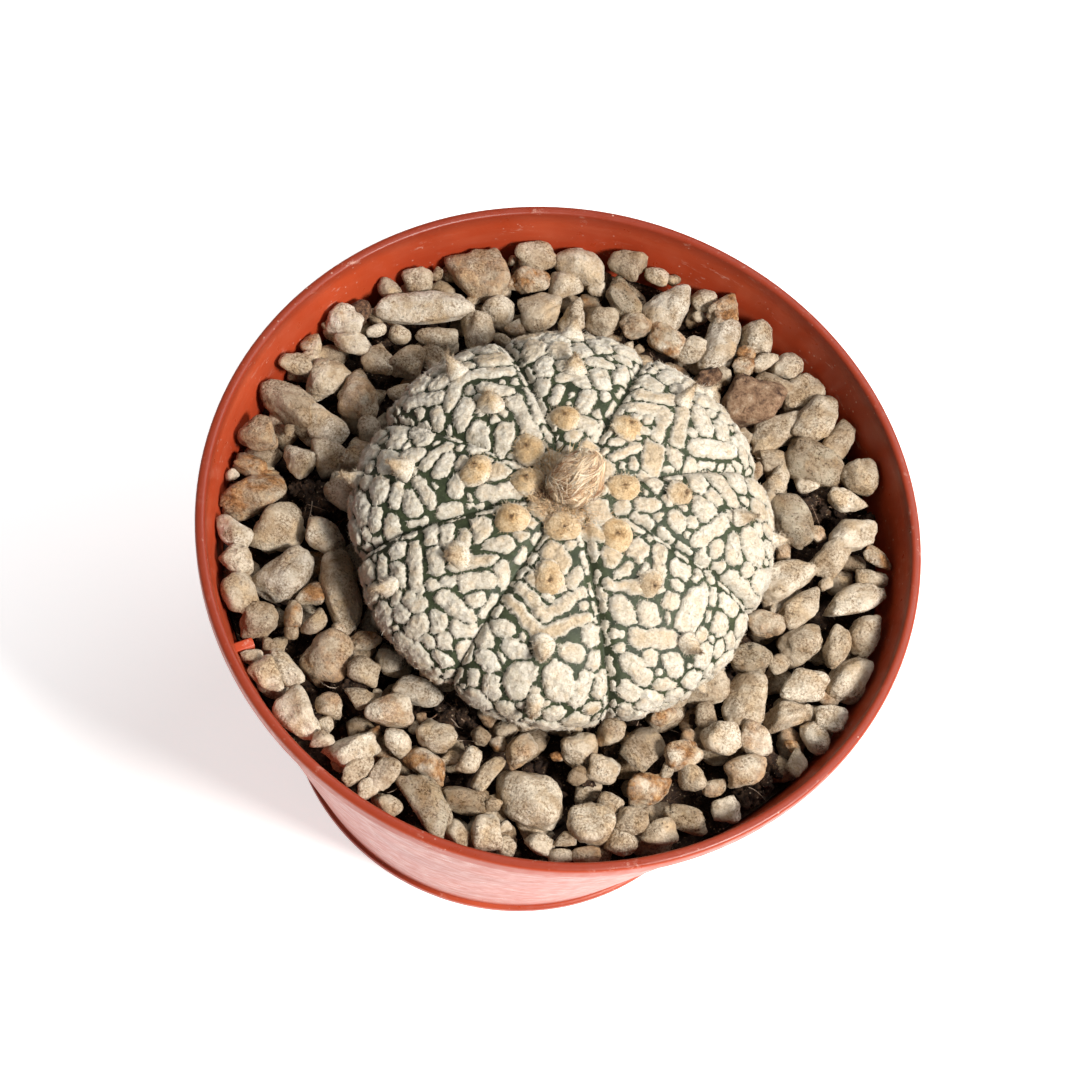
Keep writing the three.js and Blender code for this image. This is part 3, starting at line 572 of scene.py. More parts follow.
def pumice_material():
    """Dry pumice: beige under pale dust, with fine dark grain, rusty patches where a stone has them, painted
    shade in its pores, and painted shade that makes lower stones darker.
    """
    shader = Shader("pumice", 0.92, Specular_IOR_Level=0.25)
    pitted, crust = shader.attribute("pitted"), shader.noise(0.8, 5, 0.8)
    tints = [(0.0, (0.42, 0.335, 0.24)), (0.35, (0.57, 0.475, 0.355)), (0.7, (0.69, 0.595, 0.465)),
             (1.0, (0.78, 0.695, 0.565))]
    base = shader.ramp(shader.attribute("tint"), *tints)
    base = shader.tinted(base, shader.attribute("pale"), 0.4, (0.74, 0.7, 0.62))
    mottle = shader.ramp(shader.noise(3.6, 4, 0.65), (0.36, (0.6, 0.5, 0.39)), (0.6, WHITE))
    base = shader.shaded(base, 0.9, mottle)
    base = shader.tinted(base, shader.mask(shader.noise(5, 3, 0.6), 0.54, 0.66), 0.55, (0.6, 0.43, 0.25))
    stain = shader.times(shader.mask(shader.noise(3.4, 3, 0.6), 0.42, 0.6), shader.attribute("rust"), True)
    rusts = [(0.3, (0.12, 0.055, 0.025)), (0.52, (0.4, 0.2, 0.08)), (0.75, (0.66, 0.45, 0.24))]
    base = shader.mix(stain, base, shader.ramp(shader.noise(1.3, 4, 0.7), *rusts))
    dusty = shader.ramp(shader.noise(4.5, 3, 0.65), (0.4, 0.3), (0.6, 1))
    grain = shader.ramp(shader.noise(0.4, 4, 0.75), (0.38, (0.34, 0.27, 0.2)), (0.56, WHITE))
    base = shader.shaded(base, dusty, grain)
    speckled = shader.ramp(crust, (0.37, (0.4, 0.3, 0.2)), (0.45, (1.0, 0.97, 0.9)))
    base = shader.shaded(base, shader.times(pitted, 0.85), speckled)
    # Painted shade in the pores: small spots, which the bump sinks as hollows, darkened to near black.
    shaded_pores = shader.holes(shader.cells(0.7), 0.14, 0.36)
    shaded_pores = shader.times(shaded_pores, shader.mask(shader.noise(2.0, 3), 0.5, 0.62))
    pore_shade = shader.math("ADD", shader.times(pitted, 0.6), 0.2)
    base = shader.tinted(base, shaded_pores, pore_shade, (0.09, 0.06, 0.04))
    hollows = shader.math("SUBTRACT", 1.0, shaded_pores)
    bumps = [(shader.noise(1.7, 4, 0.65), 0.6), (hollows, 0.16), (shader.noise(0.45, 4, 0.75), 0.34)]
    return shader.finish(base, *bumps, (shader.times(crust, pitted), 1.0))


def bark_material():
    """Dark fibrous bark, and paler brown where the tint is high."""
    shader = Shader("bark", 0.9)
    dark = [(0.36, (0.02, 0.009, 0.005)), (0.52, (0.14, 0.07, 0.035)), (0.7, (0.42, 0.25, 0.14))]
    pale = [(0.36, (0.05, 0.022, 0.012)), (0.47, (0.26, 0.145, 0.08)), (0.58, (0.38, 0.24, 0.14)),
            (0.7, (0.6, 0.45, 0.32))]
    fibrous = shader.ramp(shader.noise(1.1, 5, 0.75, (1, 1, 2.5)), *dark)
    crusty = shader.ramp(shader.noise(2.0, 5, 0.75), *pale)
    base = shader.mix(shader.attribute("tint"), fibrous, crusty)
    bumps = [(shader.noise(1.1, 5, 0.75), 1.0), (shader.noise(2.4, 4), 0.8), (shader.noise(0.35, 3), 0.2)]
    return shader.finish(base, *bumps)


def skin_material():
    """Dark green skin, slightly waxy, with small paler dots."""
    shader = Shader("cactus_skin", 0.6, Specular_IOR_Level=0.3)
    base = shader.ramp(shader.noise(2.2, 3), (0.3, (0.018, 0.024, 0.011)), (0.7, (0.044, 0.056, 0.025)))
    dots = shader.mask(shader.noise(0.35, 3, 0.7), 0.55, 0.68)
    base = shader.tinted(base, dots, 0.35, (0.13, 0.155, 0.08))
    return shader.finish(base, (shader.noise(0.5, 3), 0.05))


def felt_material():
    """White felt: matted fibres, cream to beige where a fleck is old or thick, with painted shade at each
    fleck's edge and sides, and painted shade of folds.
    """
    shader = Shader("felt", 0.95, Specular_IOR_Level=0.2, Sheen_Weight=0.15, Sheen_Roughness=0.5)
    edge = shader.attribute("edge")
    clean = shader.ramp(shader.noise(1.5, 4, 0.6), (0.3, (0.585, 0.54, 0.46)), (0.6, (0.7, 0.655, 0.57)))
    warm = shader.ramp(shader.noise(1.1, 4, 0.6), (0.3, (0.4, 0.285, 0.165)), (0.7, (0.59, 0.455, 0.295)))
    base = shader.mix(shader.attribute("warmth"), clean, warm)
    base = shader.tinted(base, shader.attribute("shade"), 0.45, (0.56, 0.52, 0.44))
    aged = shader.ramp(shader.noise(1.7, 4, 0.6), (0.5, 0), (0.66, 0.6))
    base = shader.tinted(base, aged, shader.math("SUBTRACT", 1.0, edge, True), (0.5, 0.375, 0.235))
    fibres = shader.ramp(shader.noise(0.34, 3, 0.65), (0.38, (0.7, 0.65, 0.56)), (0.54, WHITE))
    # Painted shade of folds: darker patches in a noise pattern.
    fold_shade = shader.ramp(shader.noise(0.85, 3, 0.6), (0.36, (0.74, 0.7, 0.62)), (0.5, WHITE))
    base = shader.shaded(shader.shaded(base, 0.6, fibres), 0.7, fold_shade)
    # Painted shade at each fleck's edge and on its sides, where the edge attribute is high.
    base = shader.tinted(base, edge, 0.5, (0.34, 0.32, 0.25))
    return shader.finish(base, (shader.noise(1.0, 4, 0.6), 0.24), (shader.noise(0.3, 3, 0.7), 0.12))


def areole_material(name):
    """Areole wool: a cream rim round a golden heart, greyer on the old areoles."""
    shader = Shader(name, 0.95, Specular_IOR_Level=0.2, Sheen_Weight=0.2, Sheen_Roughness=0.5)
    heart = shader.ramp(shader.attribute("heart"), (0.05, 0.0), (0.5, 0.45), (0.97, 0.62), (1.0, 1.0))
    heart = shader.plus_noise(heart, shader.noise(1.6, 4, 0.6), 1.2)
    young = [(0.1, (0.7, 0.62, 0.5)), (0.4, (0.6, 0.46, 0.29)), (0.72, (0.5, 0.33, 0.16)),
             (1.0, (0.22, 0.12, 0.05))]
    old = [(0.1, (0.7, 0.64, 0.54)), (0.5, (0.56, 0.45, 0.32)), (1.0, (0.28, 0.18, 0.1))]
    base = shader.mix(shader.attribute("age"), shader.ramp(heart, *young), shader.ramp(heart, *old))
    fine = shader.ramp(shader.noise(0.3, 3, 0.7), (0.38, (0.62, 0.55, 0.44)), (0.54, WHITE))
    tips = shader.ramp(shader.attribute("along"), (0.0, 0.75), (0.5, 1.0))
    base = shader.shaded(shader.shaded(base, 0.8, fine), 1.0, tips)
    return shader.finish(base, (shader.noise(0.7, 4, 0.7), 0.22), (shader.noise(0.25, 3), 0.08))


def hair_material(name, dark, middle, light):
    """Hairs whose own tone runs from dark to light, darker at the roots."""
    shader = Shader(name, 0.9, Specular_IOR_Level=0.25, Sheen_Weight=0.15, Sheen_Roughness=0.5)
    tone = shader.plus_noise(shader.attribute("tone"), shader.noise(1.3, 3), 0.6)
    base = shader.ramp(tone, (0.1, dark), (0.5, middle), (0.9, light))
    tips = shader.ramp(shader.attribute("along"), (0.0, 0.6), (0.6, 1.0))
    return shader.finish(shader.shaded(base, 1.0, tips), (shader.noise(0.4, 3, 0.7), 0.12))


# ------------------------------------------------------------------ pot

WALL_FOOT = FOOT_RADIUS - 0.8
WALL_TOP = RIM_RADIUS - LIP_OVERHANG
TAPER = (WALL_TOP - WALL_FOOT) / (RIM_HEIGHT - LIP_HEIGHT - FOOT_HEIGHT)


def inner_wall(height):
    """Radius of the pot's inner wall at a height."""
    return WALL_FOOT + TAPER * (height - FOOT_HEIGHT) - WALL


def pot_profile():
    """The pot's outline from the middle of its underside round to the middle of its floor."""
    foot_inner, rim_inner = FOOT_RADIUS - FOOT_RING_WIDTH, RIM_RADIUS - RIM_WIDTH
    lip_foot = RIM_HEIGHT - LIP_HEIGHT
    ledge, corner = lip_foot + 0.5, FLOOR_TOP + 1.5
    corners = [
        ((0, FLOOR_LIFT), 0),
        ((foot_inner - 0.4, FLOOR_LIFT), 0.2),
        ((foot_inner, 0), 0.2),
        ((FOOT_RADIUS, 0), 0.4),
        ((FOOT_RADIUS, FOOT_HEIGHT - 0.35), 0.3),
        ((WALL_FOOT, FOOT_HEIGHT), 0.3),
        ((WALL_TOP, lip_foot), 0.4),
        ((RIM_RADIUS, lip_foot + 0.1), 0.3),
        ((RIM_RADIUS, RIM_HEIGHT), 0.75),
        ((rim_inner, RIM_HEIGHT - 0.05), 0.6),
        ((rim_inner - 0.35, ledge), 0.3),
        ((inner_wall(lip_foot), lip_foot), 0.3),
        ((inner_wall(corner), corner), 1.2),
        ((inner_wall(corner) - 1.5, FLOOR_TOP), 0.8),
        ((0, FLOOR_TOP), 0),
    ]
    return filleted([point for point, _ in corners], [radius for _, radius in corners])


def make_pot(material):
    """The turned shell, with its drain holes cut and the top of its rim marked for painted shade."""
    points, triangles = turned_net(divided(pot_profile(), 4.0), 180)
    pot = make_mesh("pot_shell", points, triangles, material)
    weld(pot)
    cut_drain_holes(pot)
    places = np.array([vertex.co[:] for vertex in pot.data.vertices]) / MM
    away, inner = np.hypot(places[:, 0], places[:, 1]), RIM_RADIUS - RIM_WIDTH
    # Painted shade on the rim's top, between its rounded edges.
    rim_top_shade = smooth_step(places[:, 2], RIM_HEIGHT - 1.3, RIM_HEIGHT - 0.5)
    rim_top_shade = rim_top_shade * smooth_step(away, inner - 0.5, inner)
    rim_top_shade = rim_top_shade * (1 - smooth_step(away, RIM_RADIUS - 0.35, RIM_RADIUS - 0.05))
    set_attribute(pot.data, "rim", rim_top_shade)
    return settle(pot, "pot_plastic", "pot")


def weld(piece):
    """Joins doubled points, drops empty faces and turns all faces outwards."""
    mesh = bmesh.new()
    mesh.from_mesh(piece.data)
    bmesh.ops.remove_doubles(mesh, verts=mesh.verts, dist=1e-6)
    bmesh.ops.dissolve_degenerate(mesh, edges=mesh.edges, dist=1e-7)
    bmesh.ops.recalc_face_normals(mesh, faces=mesh.faces)
    mesh.to_mesh(piece.data)
    mesh.free()


def cut_drain_holes(pot):
    heap = Heap()
    profile = [(0, -1), (DRAIN_RADIUS, -1), (DRAIN_RADIUS, FLOOR_TOP + 1), (0, FLOOR_TOP + 1)]
    points, triangles = turned_net(profile, 40)
    for number in range(DRAIN_COUNT):
        azimuth = (number + 0.5) * 2 * math.pi / DRAIN_COUNT
        heap.add(points + DRAIN_RING * heading(azimuth), triangles)
    cutter = heap.piece("drain_cutter", pot.data.materials[0])
    weld(cutter)
    apply_boolean(pot, cutter, "DIFFERENCE")


def apply_boolean(piece, tool, operation):
    modifier = piece.modifiers.new("join", "BOOLEAN")
    modifier.object, modifier.operation, modifier.solver = tool, operation, "EXACT"
    bpy.context.view_layer.update()
    evaluated = piece.evaluated_get(bpy.context.evaluated_depsgraph_get())
    mesh = bpy.data.meshes.new_from_object(evaluated)
    piece.modifiers.clear()
    piece.data = mesh
    bpy.data.objects.remove(tool)


def make_lug(material):
    """The small moulded lug on the inner wall, with softened edges."""
    top = RIM_HEIGHT - LUG_BELOW_RIM
    wall = inner_wall(top - LUG_HEIGHT)
    outer, inner = wall + 0.9, wall - LUG_DEPTH
    mesh = bmesh.new()
    bmesh.ops.create_cube(mesh, size=1)
    bmesh.ops.scale(mesh, vec=(outer - inner, LUG_WIDTH, LUG_HEIGHT), verts=mesh.verts)
    bmesh.ops.bevel(mesh, geom=mesh.edges[:], offset=0.3, segments=3, affect="EDGES", profile=0.5)
    bmesh.ops.triangulate(mesh, faces=mesh.faces)
    points, triangles = arrays_of(mesh)
    points = turned_about_z(points + ((outer + inner) / 2, 0, top - LUG_HEIGHT / 2), LUG_AZIMUTH)
    return settle(make_mesh("pot_lug", points, triangles, material), "pot_plastic")


# ------------------------------------------------------------------ the plant's smooth form

NECK_ANGLE = math.pi - math.asin(NECK_RADIUS / BODY_RADIUS)
NECK_HEIGHT = EQUATOR + UNDER_RISE * math.cos(NECK_ANGLE)


def meridian():
    """Radius and height from the crown, over the equator and the neck, to the tip of the taproot."""
    angle = np.linspace(0, NECK_ANGLE, 601)
    rise = np.where(angle < math.pi / 2, CROWN_RISE, UNDER_RISE)
    body = np.stack([BODY_RADIUS * np.sin(angle), EQUATOR + rise * np.cos(angle)], -1)
    share = np.linspace(0, 1, 81)[1:]
    height = NECK_HEIGHT + (ROOT_TIP - NECK_HEIGHT) * share
    root = np.stack([NECK_RADIUS * (1 - share) ** 0.7, height], -1)
    return np.concatenate([body, root])


MERIDIAN = meridian()
STEPS = np.linalg.norm(np.diff(MERIDIAN, axis=0), axis=1)
ARCS = np.concatenate([[0], np.cumsum(STEPS)])
TIP_ARC = ARCS[-1]
SLOPE_REACH = 0.3


def radius_at(arc):
    return np.interp(arc, ARCS, MERIDIAN[:, 0])


def height_at(arc):
    return np.interp(arc, ARCS, MERIDIAN[:, 1])


def on_meridian(arc):
    """Radius, height, and outward direction at arc lengths from the crown."""
    ahead, behind = np.minimum(arc + SLOPE_REACH, TIP_ARC), np.maximum(arc - SLOPE_REACH, 0)
    rise, run = height_at(ahead) - height_at(behind), radius_at(ahead) - radius_at(behind)
    length = np.hypot(rise, run)
    return radius_at(arc), height_at(arc), -rise / length, run / length


def fade(arc, start, full, still_full, end):
    """0 before the start arc, 1 between the full ones, 0 beyond the end."""
    return smooth_step(arc, start, full) * (1 - smooth_step(arc, still_full, end))


def rib_place(azimuth):
    """Degrees to the nearest groove, and the share of the way across the rib."""
    turn = np.mod(azimuth, 360)
    starts = np.array(GROOVES, dtype=float)
    widths = np.mod(np.roll(starts, -1) - starts, 360)
    offsets = np.mod(turn[..., None] - starts, 360)
    rib = np.argmax(offsets < widths, axis=-1)
    offset = np.take_along_axis(offsets, rib[..., None], -1)[..., 0]
    width = widths[rib]
    return np.minimum(offset, width - offset), offset / width


def skin_points(azimuth, arc, lift=0.0):
    """Points on the ribbed skin, raised by a lift, in the frame's axes."""
    azimuth, arc = np.broadcast_arrays(np.asarray(azimuth, dtype=float), np.asarray(arc, dtype=float))
    radius, height, out_r, out_z = on_meridian(arc)
    away, share = rib_place(azimuth)
    away = np.radians(away) * radius
    lobe = LOBE * (np.sin(math.pi * share) ** 0.7 - 0.65) * fade(arc, *LOBE_ARCS)
    crease = CREASE_DEPTH * np.exp(-((away / CREASE_WIDTH) ** 2)) * fade(arc, *CREASE_ARCS)
    total = lobe - crease - FELT_ROOM + lift
    ring = radius + out_r * total
    turn = np.radians(azimuth)
    plan_x, plan_y = ring * np.cos(turn) + PLANT_X, ring * np.sin(turn) + PLANT_Y
    return np.stack([plan_x, plan_y, height + out_z * total], -1)


def skin_normal(azimuth, arc):
    _, _, out_r, out_z = on_meridian(np.asarray(arc, dtype=float))
    turn = np.radians(azimuth)
    return np.stack([out_r * np.cos(turn), out_r * np.sin(turn), out_z + 0 * turn], -1)


SKIN_GRAIN = 0.06


def make_skin(material):
    """The green body, closed down to the root, with its samples crowded at the grooves."""
    share = np.linspace(0, 1, 31)[:-1]
    crowded = share - 0.13 * np.sin(2 * math.pi * share)
    azimuths = []
    for start, end in zip(GROOVES, GROOVES[1:] + GROOVES[:1]):
        azimuths.append(start + ((end - start) % 360) * crowded)
    azimuths = np.concatenate(azimuths)
    arcs = np.concatenate([np.arange(0.4, 58, 0.8), np.linspace(58.6, TIP_ARC - 0.5, 34)])
    net = skin_points(azimuths[None, :], arcs[:, None]).reshape(-1, 3)
    outward = skin_normal(np.tile(azimuths, len(arcs)), np.repeat(arcs, len(azimuths)))
    net += SKIN_GRAIN * fractal_noise(net, 1.6, 5)[:, None] * outward
    points, triangles = capped(net, len(arcs), len(azimuths), skin_points([0.0], [0.0, TIP_ARC]))
    skin = make_mesh("cactus_skin", points, triangles[:, ::-1], material)
    return settle(skin, "cactus_skin", "cactus_body")


# ------------------------------------------------------------------ felt flecks

# Strokes that the main flecks are drawn along, in millimetres on the flattened dome, to the right of and
# above the crown: start, end, half width and warmth. Strokes that share an end are one fleck.
FELT_STROKES = [
    # The front rib.
    (1.2, -24.8, -5.4, -20.5, 1, 0.6), (1.2, -24.8, 8.1, -19.8, 1, 0.6),
    (1.2, -24.8, 2.2, -27.9, 1.1, 0.5), (1.3, -21.6, -4.5, -18, 1, 0.45),
    (1.3, -21.6, 5.6, -16.4, 1, 0.45), (0.3, -30.8, 0.3, -33.7, 2.1, 0.05),
    (5.8, -29.7, 7, -32.2, 2.2, 0.1), (6.4, -26.2, 8.1, -25.7, 1.5, 0.2),
    (10.7, -25.3, 10.7, -26.5, 1.3, 0.15), (9, -21.9, 9.5, -23, 1.6, 0.1),
    (-5.7, -25.2, -4.1, -25.6, 1.4, 0.05), (-2.8, -27.5, -0.3, -28.8, 1.4, 0.05),
    (-6.3, -30.5, -4.9, -31.7, 1.5, 0), (-7.4, -26.8, -7.2, -28, 1.5, 0),
    (-10, -30.2, -9.9, -31.5, 1.3, 0), (-7.4, -33.7, -7.4, -35.1, 1, 0),
    (-4.5, -33.8, -3.9, -35.9, 1.4, 0), (2.9, -33.7, 4.1, -37.7, 1, 0.35),
    (10.4, -29.1, 10.2, -33.1, 1.3, 0.05), (13.3, -28.5, 14.1, -30.8, 1.4, 0.1),
    # The second rib to the left.
    (-14.6, -17.3, -9.3, -15, 1.15, 0.6), (-14.6, -17.3, -14.5, -12.4, 1.15, 0.55),
    (-12.6, -19.9, -8.3, -18.2, 1.35, 0.15), (-22.4, -15.9, -19.8, -22.5, 1.15, 0.15),
    (-18.6, -15.9, -17.5, -18.7, 1.2, 0.1), (-25.2, -16.1, -25.2, -17.3, 1.6, 0),
    (-27.5, -18.7, -26.8, -21.3, 1.1, 0), (-24.7, -19, -23.3, -21.6, 1.2, 0),
    (-20.3, -24.2, -19.3, -24.8, 1.6, 0.1), (-15.5, -22.8, -10.6, -25.2, 1.25, 0.05),
    (-15.5, -26.5, -14.9, -27.5, 1.4, 0), (-13.7, -29.1, -13.6, -30.5, 1.3, 0),
    (-11.7, -27.1, -9.9, -26.9, 1.4, 0), (-13.7, -32.2, -12.9, -33.1, 1.3, 0),
    (-10.3, -13, -7.7, -12.1, 1.3, 0.3), (-12.6, -9.8, -12, -11.6, 1.6, 0.3),
    (-7.7, -16.4, -7.1, -17.9, 1.4, 0.1), (-17.8, -11.6, -17.2, -14.1, 1.3, 0.1),
    (-20.3, -12.4, -19.8, -14.1, 1.2, 0.05),
    # The left rib.
    (-25.8, -3.8, -21.6, 2.4, 1.1, 0.15), (-25.5, -3.8, -21.4, -8.1, 1.1, 0.1),
    (-27.8, -3.5, -25.2, -2.9, 1.2, 0.35), (-13.4, -4.8, -8.9, -2.9, 1.3, 0.2),
    (-18.3, -3.8, -18, -5.5, 1.5, 0.05), (-21.2, 0.2, -21.5, -2.6, 1.3, 0),
    (-31.8, -0.9, -31, -1.8, 1.9, 0), (-31.6, -6.4, -30.8, -7.2, 1.9, 0),
    (-27.9, -6.1, -27.5, -8.4, 1.3, 0), (-25.2, -8.1, -24.1, -9.3, 1.5, 0),
    (-31, -11, -30.7, -12.4, 1.4, 0), (-27.8, -12.4, -27.2, -14.4, 1.4, 0),
    (-19.2, -8.7, -17.5, -8.1, 1.4, 0.05),
    # The upper left rib.
    (-23.7, 17.2, -15.7, 20, 1.2, 0.1), (-23.7, 17.2, -23.9, 10.6, 1.2, 0.1),
    (-18.9, 15.2, -14.9, 15.2, 1.2, 0.1), (-20.9, 10.9, -20.6, 7.4, 1.5, 0.05),
    (-25.4, 9.1, -24.9, 7.1, 1.3, 0), (-13.4, 13.7, -8.6, 7.7, 1.4, 0.15),
    (-31.3, 11.7, -26.1, 12.4, 1.5, 0), (-17.8, 6.6, -16.9, 3.7, 1.8, 0.05),
    (-13.3, 7.4, -12.9, 3.7, 1.5, 0.15), (-31.6, 5.4, -31, 2.8, 1.7, 0),
    (-27.8, 6, -26.4, 3.4, 1.7, 0),
    # The upper rib.
    (-2.1, 18, -2.2, 15.6, 1.6, 0.05), (-6.8, 17.8, -6.8, 15.5, 1.2, 0.05),
    (-9.9, 18.9, -9.9, 16.9, 1.5, 0), (-10.9, 16.9, -8.3, 10.9, 1.3, 0.05),
    (-0.8, 23.5, -0.5, 22.1, 1.7, 0), (2.1, 26.7, 2.1, 24.1, 1.6, 0), (-2.8, 26.4, 0.6, 26.6, 1.3, 0),
    (-10.6, 23.8, -10, 20.9, 1.5, 0), (-7.4, 20.3, -4.8, 22.4, 1, 0.2), (-3, 19.9, -4.8, 22.4, 1, 0.2),
    (-11.1, 30.7, -9.4, 31.6, 1.6, 0), (-2.8, 32.1, -2, 31.3, 1.9, 0), (2.1, 33.3, 2.9, 33.9, 2, 0),
    # The upper right rib.
    (6.1, 22, 13.4, 23.7, 1.25, 0.4), (13.9, 23.7, 14.1, 14.6, 1.3, 0.4),
    (4.8, 18.5, 11.6, 19.7, 1.1, 0.35), (11.6, 19.7, 10.7, 13.7, 1.1, 0.2),
    (5.2, 7.7, 8.1, 10.9, 1, 0.45), (17, 22.4, 18.4, 20.3, 1.9, 0.1), (21.6, 22.9, 22.1, 20.9, 1.6, 0),
    (17.9, 15.5, 24.2, 19.1, 1.6, 0.05), (7, 26.1, 8.1, 25.2, 1.7, 0.05),
    (10.4, 29, 11.6, 31.8, 1.7, 0.05),
    # The right rib.
    (21.6, 12, 26.2, 8.3, 1.35, 0.25), (17.9, 11.4, 19.6, 8.3, 1.5, 0.15),
    (25.2, 4, 21.9, -1.6, 1.3, 0.1), (26.2, 5.1, 29.1, 7.1, 1.1, 0.6),
    (30.8, 3.1, 33.1, 2.2, 2.3, 0.1), (25.9, 14.6, 26.8, 12.9, 2, 0.05),
    (17, 0.8, 17.7, 0.1, 1.5, 0.2), (10.4, 6.3, 12.4, 5.1, 1.2, 0.3), (11, 0.8, 13.3, 1.7, 1.2, 0.3),
    (28.2, 1.4, 28.5, -0.9, 1.5, 0.05), (23.3, -3.5, 23.9, -4.1, 1.4, 0.05),
    # The lower right rib.
    (17.3, -11.8, 9.3, -13.7, 1.1, 0.5), (17, -11.6, 16, -5.5, 1.1, 0.4),
    (24.6, -9.5, 23.6, -14.7, 2.1, 0.05), (16.1, -20.2, 21.3, -18.9, 1.7, 0.4),
    (16.4, -15.9, 17.3, -17, 1.7, 0.2), (12.1, -16.7, 14.1, -17.9, 1.6, 0.25),
    (16.4, -24.2, 19.9, -25.9, 1.3, 0.15), (29.9, -12.4, 30.1, -13.3, 1.7, 0.05),
    (19.6, -7, 20.7, -7.2, 1.5, 0.05), (23.3, -6.4, 23.4, -8.1, 1.1, 0.05),
    (29.1, -9, 31.7, -9.3, 1.4, 0.05), (26.8, -8.7, 27.1, -9.5, 1.2, 0.05),
    (29.4, -4.5, 37.7, -5.5, 1.2, 0.1), (23.3, -21.6, 24.8, -22.8, 1.5, 0.05),
    (10.4, -12.4, 11.8, -10.1, 1, 0.4),
]

# Half widths of the flecks that fill the rest of the skin, and how many of each there are at most.
FILLER_SIZES = ((2.0, 30), (1.7, 90), (1.4, 190), (1.1, 330), (0.8, 430), (0.55, 480))
FILLER_POOL = 26000
ARM_TURN = math.radians(48)


def plane(azimuth, arc):
    """Place of a point on the flat map of the dome: arc length and azimuth as polar coordinates."""
    turn = np.radians(azimuth)
    return np.stack([arc * np.cos(turn), arc * np.sin(turn)], -1)


def polar(spots):
    """Azimuth and arc length of spots on the flat map."""
    return np.degrees(np.arctan2(spots[..., 1], spots[..., 0])), np.linalg.norm(spots, axis=-1)


def skin_distance(spots, a, b):
    """Distance along the skin from map spots to the map's segment from a to b."""
    along = b - a
    length = float(along @ along)
    share = np.clip(((spots - a) @ along) / length, 0, 1) if length > 0 else np.zeros(spots.shape[:-1])
    away = spots - (a + share[..., None] * along)
    arc = np.linalg.norm(spots, axis=-1)
    outward = spots / np.maximum(arc, 1e-6)[..., None]
    radial = (away * outward).sum(-1)
    across = away[..., 0] * outward[..., 1] - away[..., 1] * outward[..., 0]
    narrowing = radius_at(arc) / np.maximum(arc, 1e-6)
    return np.hypot(radial, across * narrowing)


def groove_distance(spots):
    """Distance along the skin to the nearest groove; large near the crown, where grooves fade."""
    azimuth, arc = polar(spots)
    away, _ = rib_place(azimuth)
    return np.radians(away) * radius_at(arc) + 3 * (1 - smooth_step(arc, 8, 17))


class Fleck:
    """A felt fleck: the strokes that it is drawn along, its half width, its reach and its tone."""

    def __init__(self, strokes, half, warmth, slack=0.12):
        self.strokes, self.half, self.warmth = strokes, half, warmth
        self.reach = half * (1 + slack) + 0.1

    def distance(self, spots):
        return np.min([skin_distance(spots, a, b) for a, b in self.strokes], axis=0)

    def shares_an_end(self, stroke):
        return any(np.array_equal(a, b) for a in stroke for own in self.strokes for b in own)


def drawn_flecks():
    """Flecks along the listed strokes; strokes that share an end belong to one fleck."""
    flecks = []
    for x1, y1, x2, y2, half, warmth in FELT_STROKES:
        stroke = (np.array([x1, y1]), np.array([x2, y2]))
        kin = next((fleck for fleck in flecks if fleck.shares_an_end(stroke)), None)
        if kin:
            kin.strokes.append(stroke)
        else:
            flecks.append(Fleck([stroke], half, min(1.0, 1.4 * warmth)))
    return flecks


def areole_flecks():
    """A felt cushion under each areole."""
    flecks = []
    for rib in AREOLES:
        for azimuth, arc in rib:
            spot = plane(azimuth, arc)
            outward = spot / np.linalg.norm(spot)
            half, warmth = (1.6, 1.0) if arc < 14 else (1.2, 0.7)
            flecks.append(Fleck([(spot - 0.5 * outward, spot + 0.6 * outward)], half, warmth))
    return flecks


def groove_slivers(rng):
    """Long narrow flecks on both sides of each groove."""
    flecks = []
    for groove, side in [(groove, side) for groove in GROOVES for side in (-1, 1)]:
        arc = rng.uniform(8, 11)
        while arc < FELT_LOWEST_ARC:
            length, half = rng.uniform(0.9, 3.8), rng.uniform(0.36, 0.62)
            offset = (half + rng.uniform(0.14, 0.34)) * side
            ends = [plane(groove + math.degrees(offset / radius_at(at)), at) for at in (arc, arc + length)]
            flecks.append(Fleck([tuple(ends)], half, 0.0))
            arc += length + 2 * half + rng.uniform(0.3, 1.4)
    return flecks


def arm_direction(spot):
    """Way that felt runs at a spot: slanting from the middle of a rib towards the crown and the groove."""
    azimuth, arc = polar(spot)
    _, share = rib_place(azimuth)
    inward = -spot / arc
    side = 1 if share > 0.5 else -1
    sideways = np.array([inward[1], -inward[0]]) * side
    return math.cos(ARM_TURN) * inward + math.sin(ARM_TURN) * sideways


def fill_with_flecks(flecks, rng):
    """Adds flecks where there is room, the largest first."""
    arc = FELT_LOWEST_ARC * np.sqrt(rng.uniform(0.01, 1, FILLER_POOL))
    spots = plane(rng.uniform(0, 360, FILLER_POOL), arc)
    room = np.minimum(groove_distance(spots) + 0.55, arc - 3.4)
    for fleck in flecks:
        room = np.minimum(room, fleck.distance(spots) - fleck.half)
    for half in [half for half, most in FILLER_SIZES for _ in range(most)]:
        places = np.flatnonzero(room > half + 0.6 * FELT_GAP)
        if not len(places):
            continue
        spot, size = spots[rng.choice(places)], half * rng.uniform(0.92, 1.1)
        turned, (x, y) = rng.normal(0, 0.35), arm_direction(spot)
        c, s = math.cos(turned), math.sin(turned)
        stroke = np.array([x * c - y * s, x * s + y * c]) * size * rng.uniform(0.0, 0.9)
        near_crown = 1 - float(smooth_step(np.linalg.norm(spot), 8, 24))
        warmth = float(np.clip(rng.normal(0.24, 0.28) + 0.55 * near_crown, 0, 1))
        flecks.append(Fleck([(spot - stroke, spot + stroke)], size, warmth, 0.22))
        room = np.minimum(room, flecks[-1].distance(spots) - size)
    return flecks


